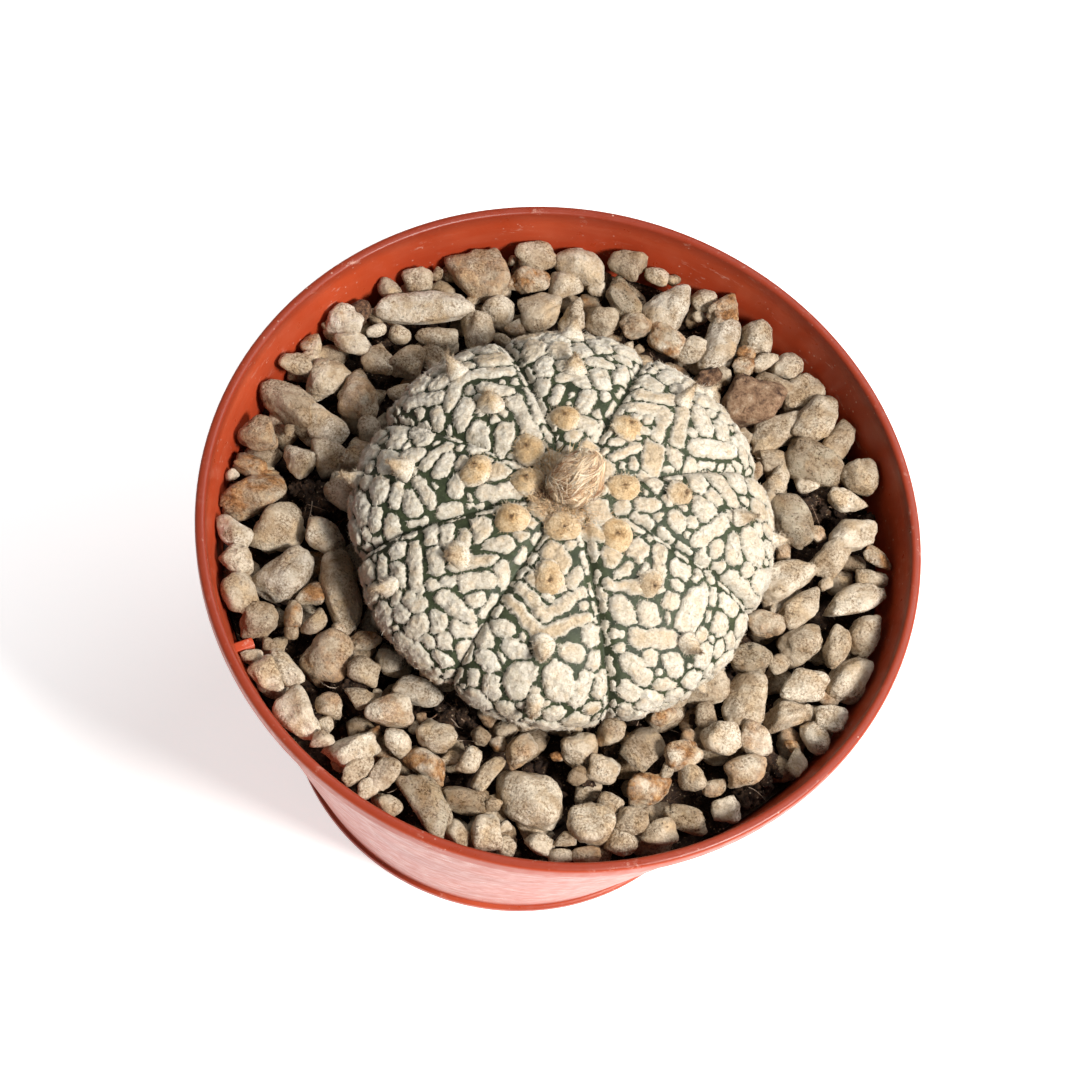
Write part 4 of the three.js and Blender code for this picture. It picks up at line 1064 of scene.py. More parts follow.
def felt_layout(rng):
    """All flecks: the drawn ones, the cushions and slivers that lie clear of them, and the fillers."""
    flecks = drawn_flecks()
    for fleck in areole_flecks() + groove_slivers(rng):
        middle = np.mean([end for stroke in fleck.strokes for end in stroke], axis=0)
        if all(other.distance(middle[None])[0] > other.half + 0.2 for other in flecks):
            flecks.append(fleck)
    return fill_with_flecks(flecks, rng)


def felt_field(flecks, spots):
    """For every map spot: how far it lies inside its fleck, and that fleck's number."""
    shape, far, margin = spots.shape[:2], 20.0, 6
    nearest, second = np.full(shape, far), np.full(shape, far)
    within, owner = np.full(shape, -far), np.zeros(shape, dtype=int)
    flat = np.concatenate([spots.reshape(-1, 2), np.zeros((spots[..., 0].size, 1))], -1)
    warp = [0.36 * fractal_noise(flat, 1.5, 3 + 10 * axis).reshape(shape) for axis in range(2)]
    warped = spots + np.stack(warp, -1)
    for number, fleck in enumerate(flecks):
        ends = np.array([end for stroke in fleck.strokes for end in stroke])
        first = np.maximum(((ends.min(0) - margin - spots[0, 0]) / FELT_CELL).astype(int), 0)
        last = ((ends.max(0) + margin - spots[0, 0]) / FELT_CELL).astype(int) + 1
        window = (slice(first[0], last[0]), slice(first[1], last[1]))
        away = fleck.distance(warped[window])
        depth = away - fleck.half
        closer = depth < nearest[window]
        second[window] = np.where(closer, nearest[window], np.minimum(second[window], depth))
        nearest[window] = np.where(closer, depth, nearest[window])
        within[window] = np.where(closer, fleck.reach - away, within[window])
        owner[window] = np.where(closer, number, owner[window])
    field = smooth_min((second - nearest) / 2 - FELT_GAP / 2, within, 0.9) + 0.1
    ragged = 0.17 * fractal_noise(flat, 0.95, 31) + 0.17 * lattice_noise(flat, 0.44, 37)
    field += (ragged + 0.12 * lattice_noise(flat, 4, 39)).reshape(shape)
    arc = np.linalg.norm(spots, axis=-1)
    limit = np.minimum(np.minimum(FELT_LOWEST_ARC - arc, arc - 2.8), groove_distance(spots) - 0.1)
    return np.minimum(field, limit), owner


def cut_at_zero(values, triangles):
    """Keeps the part of a triangle sheet where its values are positive.

    Gives each point as a place between two points of the sheet, then the triangles and the cut's edges.
    """
    inside, size = values[triangles] > 0, len(values)
    count = inside.sum(1)
    cuts = []
    for odd_inside, wanted in ((True, 1), (False, 2)):
        chosen = triangles[count == wanted]
        odd = np.argmax(inside[count == wanted] == odd_inside, axis=1)
        rows = np.arange(len(chosen))
        cuts.append([chosen[rows, (odd + k) % 3] for k in range(3)] + [odd_inside])

    def key(a, e):
        return np.minimum(a, e) * size + np.maximum(a, e)

    keys = np.unique(np.concatenate([key(a, e) for a, b, c, _ in cuts for e in (b, c)]))
    kept, rims = [triangles[count == 3]], []
    for a, b, c, odd_inside in cuts:
        ab, ac = size + np.searchsorted(keys, key(a, b)), size + np.searchsorted(keys, key(a, c))
        if odd_inside:
            kept.append(np.stack([a, ab, ac], -1))
            rims.append(np.stack([ab, ac], -1))
        else:
            kept += [np.stack([ab, b, c], -1), np.stack([ab, c, ac], -1)]
            rims.append(np.stack([ac, ab], -1))
    low, high = keys // size, keys % size
    share = np.clip(values[low] / (values[low] - values[high]), 0.06, 0.94)
    starts, ends = (np.concatenate([np.arange(size), side]) for side in (low, high))
    shares = np.concatenate([np.zeros(size), share])
    return starts, ends, shares, np.concatenate(kept), np.concatenate(rims)


def felt_lift(base, depth, thickness):
    """Height of the felt over the skin: a rounded edge, then a matted, creased top."""
    edge = 1 - np.exp(-depth / 0.3)
    swell = 0.8 + 0.35 * fractal_noise(base, 1.7, 71)
    crease = np.minimum(np.abs(fractal_noise(base * (1, 1, 1.4), 0.9, 73, 2)), 0.55)
    tufts = 0.07 * lattice_noise(base, 0.5, 77)
    return FELT_EDGE + edge * (FELT_HEIGHT * thickness * swell - 0.2 + 0.42 * crease + tufts)


def felt_grain(flecks, own, place):
    """Way that the fibres of a fleck mostly lie: along its stroke, in the frame's axes."""
    ways = np.array([fleck.strokes[0][1] - fleck.strokes[0][0] for fleck in flecks])[own]
    ways = unit(ways + 1e-3) * 0.4
    start, end = (skin_points(*polar(at)) for at in (place - ways, place + ways))
    return unit(end - start)


# Ranges of the fibres' lengths and widths.
NAP_SIZES = ((0.3, 0.8), (0.07, 0.14))
FRINGE_SIZES = ((0.12, 0.32), (0.08, 0.15))
NAP_COUNT = 38000
# How far the pads reach into the skin, and the arc length at which the felt is parted in two pieces.
SKIRT_DEPTH = 0.15
CROWN_ARC = 31


def make_felt_fibres(name, roots, directions, sizes, warmth, shade, edge, rng, material):
    """Single fibres, each with its own tone."""
    lengths, widths = (rng.uniform(*size, len(roots)) for size in sizes)
    droop = 0.12 * rng.normal(size=roots.shape)
    ribbon, faces, _ = hair_ribbons(roots, unit(directions), lengths, widths, droop, rng, joints=2)
    each = len(ribbon) // len(roots)
    layers = {
        "warmth": np.clip(np.repeat(warmth + rng.normal(0, 0.15, len(roots)), each), 0, 1),
        "shade": np.clip(np.repeat(shade + rng.normal(0, 0.35, len(roots)), each), 0, 1),
        # How much of the painted edge shade the fibres get.
        "edge": np.full(len(ribbon), edge),
    }
    settle(make_mesh(name, ribbon, faces, material, layers), "cactus_skin", "cactus_body")


def make_nap_and_fringe(points, rim, normals, depth, grain, warmth, shade, material):
    """A nap that lies along each fleck, and a ragged fringe along its edge."""
    rng = np.random.default_rng(47)
    at = rng.choice(np.flatnonzero(depth > 0.12), NAP_COUNT)
    sign = rng.choice([-1, 1], (len(at), 1))
    way = grain[at] * sign + 0.1 * normals[at] + 0.3 * rng.normal(size=(len(at), 3))
    roots = points[at] - 0.02 * normals[at]
    make_felt_fibres("felt_nap", roots, way, NAP_SIZES, warmth[at], shade[at], 0.0, rng, material)
    clumps = lattice_noise(points[rim[:, 0]], 0.6, 91) + 0.4 * rng.normal(size=len(rim))
    at, after = rim[clumps > 0.1].T
    across = unit(np.cross(points[after] - points[at], normals[at]))
    way = across + 0.1 * normals[at] + 0.35 * rng.normal(size=across.shape)
    roots = points[at]
    # The fringe gets a little of the painted edge shade.
    make_felt_fibres("felt_fringe", roots, way, FRINGE_SIZES, warmth[at], shade[at], 0.15, rng, material)


def felt_sheet(flecks):
    """The flecks cut out of a flat sheet: places, depths, owners, triangles and rim edges."""
    steps = np.arange(-FELT_LOWEST_ARC - 1, FELT_LOWEST_ARC + 1, FELT_CELL)
    spots = np.stack(np.meshgrid(steps, steps, indexing="ij"), -1)
    field, owner = (values.ravel() for values in felt_field(flecks, spots))
    sheet = grid_triangles(len(steps), len(steps), False)[:, ::-1]
    starts, ends, shares, triangles, rim = cut_at_zero(field, sheet)
    used, renumbered = np.unique(np.concatenate([triangles.ravel(), rim.ravel()]), return_inverse=True)
    triangles, rim = np.split(renumbered, [triangles.size])
    triangles, rim = triangles.reshape(-1, 3), rim.reshape(-1, 2)
    starts, ends, shares = starts[used], ends[used], shares[used]
    flat = spots.reshape(-1, 2)
    place = flat[starts] * (1 - shares)[:, None] + flat[ends] * shares[:, None]
    depth = np.maximum(field[starts] * (1 - shares) + field[ends] * shares, 0)
    own = np.where(field[starts] > 0, owner[starts], owner[ends])
    return place, depth, own, triangles, rim


def with_skirt(points, foot, triangles, rim):
    """Closes the pads' sides: adds foot points under the rim and a band of triangles down to them.

    Gives the rim's own points last.
    """
    rim_points, rim_places = np.unique(rim, return_inverse=True)
    low_a, low_b = (len(points) + rim_places.reshape(-1, 2)).T
    a, b = rim.T
    skirt = [np.stack([b, a, low_a], -1), np.stack([b, low_a, low_b], -1)]
    return np.concatenate([points, foot[rim_points]]), np.concatenate([triangles, *skirt]), rim_points


def settle_felt(points, triangles, layers, upper, material):
    """Makes two pieces of the felt: the upper triangles near the crown, and the rest."""
    for name, chosen in (("felt_flecks_crown", upper), ("felt_flecks_side", ~upper)):
        kept, order = np.unique(triangles[chosen], return_inverse=True)
        values = {key: layer[kept] for key, layer in layers.items()}
        piece = make_mesh(name, points[kept], order.reshape(-1, 3), material, values)
        settle(piece, "cactus_skin", "cactus_body")


def make_felt(material):
    """The flecks as raised pads, cut out of a fine sheet that follows the skin."""
    rng = np.random.default_rng(43)
    flecks = felt_layout(rng)
    place, depth, own, triangles, rim = felt_sheet(flecks)
    azimuth, arc = polar(place)
    base = skin_points(azimuth, arc)
    thickness = np.array([rng.uniform(0.85, 1.1) + 0.16 * fleck.half for fleck in flecks])[own]
    points = skin_points(azimuth, arc, felt_lift(base, depth, thickness))
    warmth = np.array([fleck.warmth for fleck in flecks])[own]
    warmth = warmth * (0.15 + 0.85 * smooth_step(depth, 0.15, 0.75)) + 0.08 * fractal_noise(base, 7, 83)
    shade = np.array([rng.uniform(0, 1) ** 2 for _ in flecks])[own]
    grain = felt_grain(flecks, own, place)
    make_nap_and_fringe(points, rim, skin_normal(azimuth, arc), depth, grain, warmth, shade, material)
    foot = skin_points(azimuth, arc, -SKIRT_DEPTH)
    points, triangles, rim_points = with_skirt(points, foot, triangles, rim)
    layers = {
        "warmth": np.clip(np.concatenate([warmth, warmth[rim_points]]), 0, 1),
        "shade": np.concatenate([shade, shade[rim_points]]),
        # Painted shade: darkest at each fleck's edge and all over its sides.
        "edge": np.concatenate([np.exp(-depth / 0.14), np.ones(len(rim_points))]),
    }
    middles = np.array([np.linalg.norm(np.mean(fleck.strokes, axis=(0, 1))) for fleck in flecks])
    upper = middles[own[triangles[:, 0]]] < CROWN_ARC
    settle_felt(points, triangles, layers, upper, material)


# ------------------------------------------------------------------ areole wool and flower bud


AREOLE_HAIRS = 380


def around_axis(axis, angles):
    """Unit vectors square to an axis, at angles round it."""
    other = np.array([0, 0, 1.0]) if abs(axis[2]) < 0.9 else np.array([1.0, 0, 0])
    first = unit(np.cross(axis, other))
    return np.cos(angles)[:, None] * first + np.sin(angles)[:, None] * np.cross(axis, first)


def woolly_dome(origin, axis, width, height, point, rng, rings=16, sides=30):
    """A cushion of matted wool along an axis, more pointed for a higher point from 0 to 1.

    Gives for each of its points a way out and its share of the way up as well.
    """
    share = np.sin(np.linspace(0, 1, rings) * math.pi / 2 * 0.97)
    radius = (1 - share ** (2.8 - 1.4 * point)) ** 0.7 * (1 - point * share) * width / 2
    angle = np.arange(sides) * 2 * math.pi / sides
    ring = around_axis(axis, angle)[None]
    corners = 1 + 0.04 * np.cos(angle * 3 + rng.uniform(0, 6)) + 0.1 * np.cos(2 * angle + rng.uniform(0, 6))
    centre = origin + axis * (share * height)[:, None]
    points = centre[:, None] + ring * radius[:, None, None] * corners[None, :, None]
    points, triangles = capped(points.reshape(-1, 3), rings, sides)
    up = np.concatenate([np.repeat(share, sides), [0, 1]])
    outward = unit(points - (origin + axis * height * 0.1))
    rough = width * (0.05 * fractal_noise(points, 1.9, 11) + 0.018 * lattice_noise(points, 0.45, 12))
    pit = rng.uniform(0, 0.45) * np.exp(-((1 - up) / 0.06) ** 2) * (1 - point)
    return points + outward * (rough - pit)[:, None], triangles, outward, up


def areole_hairs(points, away, up, axis, rng):
    """Short hairs that swirl over a cushion, and longer ones that spread from its foot over the felt."""
    chosen = rng.integers(len(points), size=AREOLE_HAIRS)
    away, low = away[chosen], (up[chosen] < 0.45)[:, None]
    spread = np.where(low, 1.1, 0.4) * away + np.where(low, 0.1, 0.7) * np.cross(axis, away)
    direction = unit(spread + rng.normal(size=(AREOLE_HAIRS, 3)) * 0.5)
    lengths = rng.uniform(0.4, 0.9, AREOLE_HAIRS) * np.where(low[:, 0], 1.1, 0.9)
    widths = rng.uniform(0.07, 0.13, AREOLE_HAIRS)
    droop = rng.normal(size=(AREOLE_HAIRS, 3)) * 0.3
    roots = points[chosen] - 0.05 * away
    ribbon, faces, along = hair_ribbons(roots, direction, lengths, widths, droop, rng)
    return ribbon, faces, along, np.repeat(up[chosen], len(ribbon) // AREOLE_HAIRS)


def make_areoles(core_material, hair_material):
    """Wool on every areole: wide low cushions near the crown, narrow cones that lean out lower down."""
    rng = np.random.default_rng(5)
    cores, hairs = Heap(), Heap()
    for azimuth, arc in [place for rib in AREOLES for place in rib]:
        outer, low = float(smooth_step(arc, 12, 30)), float(smooth_step(arc, 33, 38))
        lean = (0.1 + 0.85 * outer) * heading(math.radians(azimuth))
        axis = unit(skin_normal(np.array(azimuth), np.array(arc)) + lean + rng.normal(size=3) * 0.1)
        width = (5.5 - 1.6 * outer - 0.7 * low) * rng.uniform(0.88, 1.08)
        height = (1.9 + 1.9 * outer - 0.9 * low) * rng.uniform(0.8, 1.15)
        origin = skin_points([azimuth], [arc])[0] - 0.3 * axis
        points, triangles, away, up = woolly_dome(origin, axis, width, height, 0.05 + 0.6 * outer, rng)
        age = float(np.clip(outer + rng.uniform(-0.3, 0.3), 0, 1))
        cores.add(points, triangles, along=0.9, age=age, heart=up)
        ribbon, faces, along, heart = areole_hairs(points, away, up, axis, rng)
        hairs.add(ribbon, faces, along=along, age=age, heart=heart)
    settle(cores.piece("areole_wool", core_material), "cactus_skin", "cactus_body")
    settle(hairs.piece("areole_hairs", hair_material), "cactus_skin", "cactus_body")


BUD_LOW, BUD_HIGH = node_box("flower_bud")
BUD_HEIGHT = BUD_HIGH[2] - BUD_LOW[2]
BUD_RADIUS = 3.75
BUD_LEAN = np.array([2.3, 3.0, 0])
BUD_FOOT = np.array([PLANT_X - 0.5, PLANT_Y - 0.7, BUD_LOW[2] - 0.6])
BUD_HEART = BUD_FOOT + (0.3, 0.4, 2.4)
BUD_LOCKS, HAIRS_IN_A_LOCK = 330, 9
BUD_FOOT_HAIRS, RUSSET_HAIRS = 3000, 500
RUSSET_TURN = math.radians(214)


def bud_swell(share):
    return np.sin(math.pi * (0.2 + 0.8 * share))


def bud_surface(turn, share):
    """A point on the bud: full and round below, lumpy, drawn out to a leaning tip."""
    scales = 1 + 0.06 * np.sin(5 * turn + 7 * share) * np.sin(math.pi * share)
    ring = BUD_RADIUS * bud_swell(share) ** 0.8 * (1 - 0.2 * share**2) * scales
    centre = BUD_FOOT + BUD_LEAN * (share**1.6)[..., None]
    rise = BUD_HEIGHT * (share * 1.25 - 0.25 * share**3)
    points = centre + np.stack([ring * np.cos(turn), ring * np.sin(turn), rise], -1)
    lumps = 0.42 * fractal_noise(points.reshape(-1, 3), 1.7, 3, 2).reshape(share.shape)
    return points + bud_outward(points) * lumps[..., None]


def bud_outward(points):
    return unit(points - BUD_HEART)


def wrapped_hairs(rng, joints=6):
    """Locks of long hairs that lie round the bud, cross each other and mostly sweep up to its tip."""
    t = np.linspace(0, 1, joints)[None, :]

    def per_lock(values, spread):
        count = BUD_LOCKS * HAIRS_IN_A_LOCK
        return (np.repeat(values, HAIRS_IN_A_LOCK) + rng.normal(0, spread, count))[:, None]

    start = per_lock(rng.uniform(0, 2 * math.pi, BUD_LOCKS), 0.07)
    foot = per_lock(rng.uniform(0.02, 0.85, BUD_LOCKS), 0.03)
    bearing = per_lock(rng.normal(0.9, 0.75, BUD_LOCKS), 0.12)
    bend = per_lock(rng.normal(0, 1.1, BUD_LOCKS), 0.25)
    length = per_lock(rng.uniform(0.35, 0.8, BUD_LOCKS), 0.06)
    way = bearing + bend * t
    share = np.clip(foot + length * 0.7 * np.cumsum(np.sin(way), 1) / joints, 0.0, 0.99)
    sweep = length * 1.7 * np.cumsum(np.cos(way), 1) / joints / np.maximum(bud_swell(share), 0.35)
    base = bud_surface(start + sweep, share)
    outward = bud_outward(base)
    loft = per_lock(rng.uniform(0.0, 0.55, BUD_LOCKS), 0.12)
    loft = loft + per_lock(rng.uniform(-0.3, 0.5, BUD_LOCKS), 0.2) * t**2
    centres = base + outward * np.maximum(loft, -0.05)[..., None]
    flat = unit(np.cross(np.gradient(centres, axis=1), outward))
    tilt = rng.normal(0, 0.5, (len(flat), 1, 1))
    widths = rng.uniform(0.08, 0.2, len(flat))
    tone = per_lock(rng.uniform(0.05, 0.95, BUD_LOCKS), 0.15)[:, 0]
    return ribbons(centres, unit(flat * np.cos(tilt) + outward * np.sin(tilt)), widths), np.clip(tone, 0, 1)


def make_bud(core_material, hair_material, root_material):
    """The woolly bud: a core, locks of hair round it, and wool at its foot."""
    rng = np.random.default_rng(17)
    rings, sides = 48, 90
    share = np.repeat(np.linspace(0, 0.985, rings), sides)
    turn = np.tile(np.arange(sides) * 2 * math.pi / sides, rings)
    points, triangles = capped(bud_surface(turn, share), rings, sides)
    points = points + bud_outward(points) * (0.12 * lattice_noise(points, 0.5, 3))[:, None]
    off_russet = np.angle(np.exp(1j * (turn - RUSSET_TURN)))
    russet = np.exp(-((off_russet / 0.55) ** 2)) * (share < 0.5)
    tone = np.concatenate([0.3 - 0.3 * russet, [0.0, 0.3]])
    layers = {"along": np.full(len(points), 0.5), "tone": tone}
    settle(make_mesh("flower_bud_core", points, triangles, core_material, layers), "bud_wool", "flower_bud")
    (ribbon, faces, along), tone = wrapped_hairs(rng)
    tone = np.repeat(tone, len(ribbon) // len(tone))
    hairs = make_mesh("flower_bud_hairs", ribbon, faces, hair_material, {"along": along, "tone": tone})
    settle(hairs, "bud_wool", "flower_bud")
    make_bud_foot(root_material, rng)


def make_bud_foot(material, rng):
    """Wool between the bud and the crown: russet at the lower left, golden elsewhere."""
    count, russet = BUD_FOOT_HAIRS, RUSSET_HAIRS
    golden = count - russet
    side = [rng.normal(RUSSET_TURN, 0.28, russet), rng.normal(math.radians(225), 0.9, golden)]
    turn = np.concatenate(side)
    arc = np.concatenate([rng.uniform(3.6, 5.6, russet), rng.uniform(3.4, 7.2, golden)])
    roots = skin_points(np.degrees(turn), arc, 0.3)
    direction = np.stack([np.cos(turn) * 0.4, np.sin(turn) * 0.4, np.full(count, 0.6)], -1)
    direction = unit(direction + rng.normal(size=(count, 3)) * 0.55)
    lengths, widths = rng.uniform(0.7, 1.9, count), rng.uniform(0.07, 0.14, count)
    droop = rng.normal(size=(count, 3)) * 0.35
    ribbon, faces, along = hair_ribbons(roots, direction, lengths, widths, droop, rng)
    tone = np.concatenate([np.zeros(russet), rng.uniform(0.45, 1, golden)])
    layers = {"along": along, "tone": np.repeat(tone, len(ribbon) // count)}
    foot = make_mesh("flower_bud_foot", ribbon, faces, material, layers)
    settle(foot, "bud_wool", "flower_bud")


# ------------------------------------------------------------------ potting mix and pumice

MIX_CLEARANCE = 0.3
ROOT_HOLLOW = [(10.6, NECK_HEIGHT - 1), (8, 56), (4, 42), (0, ROOT_TIP - 1)]

# How many crumbs, clods and rootlets lie all over the mix, how many more on each bare spot, and how far
# they reach from the middle.
CRUMB_COUNT, CRUMB_INNER, CRUMB_OUTER = 900, 26, 54
CLOD_COUNT, CLODS_ON_A_SPOT, CLOD_INNER, CLOD_OUTER = 30, 24, 27, 55
ROOTLET_COUNT, ROOTLETS_ON_A_SPOT, ROOTLET_INNER, ROOTLET_OUTER = 160, 26, 28, 53


def make_mix(material):
    """The mix: a filling with a rough top and a hollow for the root."""
    rings, sides, hollow_edge, under_plant = 56, 150, 12.0, 20
    edge = inner_wall(MIX_TOP) - MIX_CLEARANCE
    top = np.stack([np.linspace(edge, hollow_edge, rings), np.full(rings, MIX_TOP)], -1)
    outside = [(0, MIX_BOTTOM), (inner_wall(MIX_BOTTOM) - MIX_CLEARANCE, MIX_BOTTOM)]
    points, triangles = turned_net(np.concatenate([outside, top, ROOT_HOLLOW]), sides)
    away = np.hypot(points[:, 0], points[:, 1])
    loose = (points[:, 2] > MIX_TOP - 0.01) & (away < edge - MIX_CLEARANCE)
    points[:, 2] += np.where(loose, 0.9 * fractal_noise(points, 3.2, 9) - 0.5, 0)
    points[:, 2] -= np.where(loose & (away < under_plant), 0.5 * (under_plant - away), 0)
    mix = make_mesh("potting_mix_filling", points, triangles, material)
    weld(mix)
    return settle(mix, "potting_mix", "potting_mix")


def scattered(rng, least, most):
    """A random place between two distances from the origin."""
    away, turn = math.sqrt(rng.uniform(least**2, most**2)), rng.uniform(0, 2 * math.pi)
    return away * math.cos(turn), away * math.sin(turn)


def places_on_mix(rng, count, on_a_spot, bed_radius):
    """Random places all over the bed, and then on each bare spot."""
    spots = [spot for spot in BARE_SPOTS for _ in range(on_a_spot)]
    for x, y, radius in [(0, 0, bed_radius)] * count + spots:
        away_x, away_y = scattered(rng, 0, radius)
        yield x + away_x, y + away_y


def on_open_mix(x, y, wall_room, plant_radius):
    """Whether a place lies between the plant and the wall."""
    return plant_radius <= math.hypot(x, y) <= inner_wall(MIX_TOP) - wall_room


def make_crumbs(material, fibre_material):
    """Loose crumbs and clods of the mix on its surface, with fine rootlets."""
    rng = np.random.default_rng(23)
    crumbs = Heap()
    ball, faces = icosphere(1)
    for _ in range(CRUMB_COUNT):
        x, y = scattered(rng, CRUMB_INNER, CRUMB_OUTER)
        size = rng.uniform(0.35, 1.3)
        shape = ball * (1 + 0.35 * rng.normal(size=(len(ball), 1))).clip(0.5, 1.5) * size
        crumbs.add(shape + (x, y, MIX_TOP + 0.2 * size), faces)
    ball, faces = icosphere(3)
    for x, y in places_on_mix(rng, CLOD_COUNT, CLODS_ON_A_SPOT, CLOD_OUTER):
        size = rng.uniform(0.7, 1.8)
        if not on_open_mix(x, y, size, CLOD_INNER):
            continue
        level = RIM_HEIGHT - rng.uniform(7.8, 10.0) - size
        seat = ball + rng.uniform(-50, 50, 3)
        lumpy = 1 + 0.5 * fractal_noise(seat, 0.6, 8) + 0.5 * lattice_noise(seat, 0.25, 9)
        crumbs.add(ball * lumpy[:, None] * size + (x, y, level), faces)
    settle(crumbs.piece("potting_mix_crumbs", material), "potting_mix", "potting_mix")
    make_rootlets(rng, fibre_material)


def make_rootlets(rng, material):
    """Fine pale rootlets on the mix."""
    fibres = Heap()
    for x, y in places_on_mix(rng, ROOTLET_COUNT, ROOTLETS_ON_A_SPOT, ROOTLET_OUTER):
        if not on_open_mix(x, y, 3, ROOTLET_INNER):
            continue
        turn = rng.uniform(0, 2 * math.pi)
        start = np.array([[x, y, RIM_HEIGHT - rng.uniform(7.5, 11.0)]])
        direction = heading(turn)[None] + (0, 0, rng.uniform(-0.2, 0.4))
        droop = rng.normal(size=(1, 3)) * 0.5
        length, width = np.array([rng.uniform(1, 3.2)]), np.array([rng.uniform(0.08, 0.2)])
        ribbon, triangles, along = hair_ribbons(start, direction, length, width, droop, rng, joints=8)
        fibres.add(ribbon, triangles, along=along, tone=rng.uniform())
    settle(fibres.piece("rootlets", material), "potting_mix", "potting_mix")


def stone_shape(ball, rng, roundness, pits):
    """A worn, blunt pebble: a ball cut back by soft-edged planes, dented, then roughened."""
    ends = np.concatenate([np.eye(3), -np.eye(3)]) + rng.normal(size=(6, 3)) * 0.3
    planes = unit(np.concatenate([ends, rng.normal(size=(9, 3))]))
    cuts = np.concatenate([rng.uniform(0.76, 0.98, 6), rng.uniform(0.82, 1.05, 9)])
    facing = np.clip(ball @ planes.T, 0, None) / cuts
    radius = (facing**roundness).sum(1) ** (-1 / roundness)
    for _ in range(rng.integers(1, 4)):
        nearness = np.exp(-(1 - ball @ unit(rng.normal(size=3))) / rng.uniform(0.1, 0.3))
        radius *= 1 - rng.uniform(0.06, 0.24) * nearness
    offset = rng.uniform(-50, 50, 3)
    bumps = 0.17 * fractal_noise(ball + offset, 0.75, 2) + 0.06 * lattice_noise(ball + offset, 0.26, 4)
    holes = np.clip(fractal_noise(ball + offset, 0.32, 6, 2) - 0.35, 0, 1) * pits
    shape = ball * (radius * (1 + bumps - holes))[:, None]
    low, high = shape.min(0), shape.max(0)
    return (shape - (low + high) / 2) / ((high - low) / 2)


# Stones added between those listed: least and greatest length, most of them, closeness and drop.
FILLER_STONES = ((3.6, 5.4, 90, 0.82, 1.4), (2.2, 3.6, 70, 0.8, 2.0), (4.5, 7.5, 130, 0.55, 4.6))
FILLER_TRIALS = 7000
LOWER_LAYER_DROP = 2
BED_INNER, BED_OUTER = 28, 56
RUSTY_FILLERS = 0.13

# How deep the pits of each kind go, and how rusty it is, where that differs from a plain stone.
PITS = {PITTED: 0.6, BARK: 0.8, RUST: 0.3, NUGGET: 0.75}
RUSTINESS = {RUST: 1.0, PITTED: 0.35}

BED_BELOW_RIM = 3.9
HIGHEST_OVERLAP, DEEPEST_STACK = 0.7, 1.6
FINE_STONE = 5.4
MOST_TRIANGLES = 190000


def filler_stones(rng):
    """Smaller stones in the gaps between those listed, and a lower layer under all of them."""
    fillers = []
    for least, most, limit, close, drop in FILLER_STONES:
        under_plant = [Stone(0, 0, 40, 40)]
        around = under_plant if drop > LOWER_LAYER_DROP else STONES + fillers
        taken = np.array([[stone.x, stone.y, stone.reach] for stone in around])
        made = 0
        for _ in range(FILLER_TRIALS):
            x, y = scattered(rng, BED_INNER, BED_OUTER)
            size = rng.uniform(least, most)
            if any(math.hypot(x - spot[0], y - spot[1]) < spot[2] + 0.3 * size for spot in BARE_SPOTS):
                continue
            gaps = np.hypot(taken[:, 0] - x, taken[:, 1] - y) - close * (taken[:, 2] + size / 2)
            if made < limit and gaps.min() > 0:
                kind = RUST if rng.uniform() < RUSTY_FILLERS else PLAIN
                width = size * rng.uniform(0.65, 0.95)
                fillers.append(Stone(x, y, size, width, rng.uniform(0, 180), kind, drop))
                taken = np.concatenate([taken, [[x, y, size / 2]]])
                made += 1
    return fillers


def place_stone(stone, ball, rng):
    """A stone's points in the bed, with its top below the rim and its side clear of the wall."""
    height = stone.width * rng.uniform(0.8, 0.98)
    shape = stone_shape(ball, rng, rng.uniform(4.5, 9), PITS.get(stone.kind, 0.1))
    shape = turned_about_z(shape * (stone.length / 2, stone.width / 2, height / 2), stone.turn)
    sunk = BED_BELOW_RIM + stone.drop + rng.uniform(0, 1.2) + max(0, 7 - stone.width) * 0.22
    level = RIM_HEIGHT - sunk - height / 2
    over = np.hypot(shape[:, 0] + stone.x, shape[:, 1] + stone.y).max() - (inner_wall(level) - 0.15)
    shrink = 1 - max(0, over) / math.hypot(stone.x, stone.y)
    return shape + (stone.x * shrink, stone.y * shrink, level)


def stacked(stones):
    """Gives every stone a drop: a smaller stone rests lower where it overlaps larger ones."""
    placed = []
    for stone in sorted(stones, key=lambda stone: -stone.width):
        drop = 0.0
        for other in placed:
            overlap = stone.reach + other.reach - math.hypot(other.x - stone.x, other.y - stone.y)
            if overlap > HIGHEST_OVERLAP:
                drop = max(drop, other.drop + min(1.0, 0.4 * overlap))
        placed.append(stone._replace(drop=min(drop, DEEPEST_STACK)))
    return placed


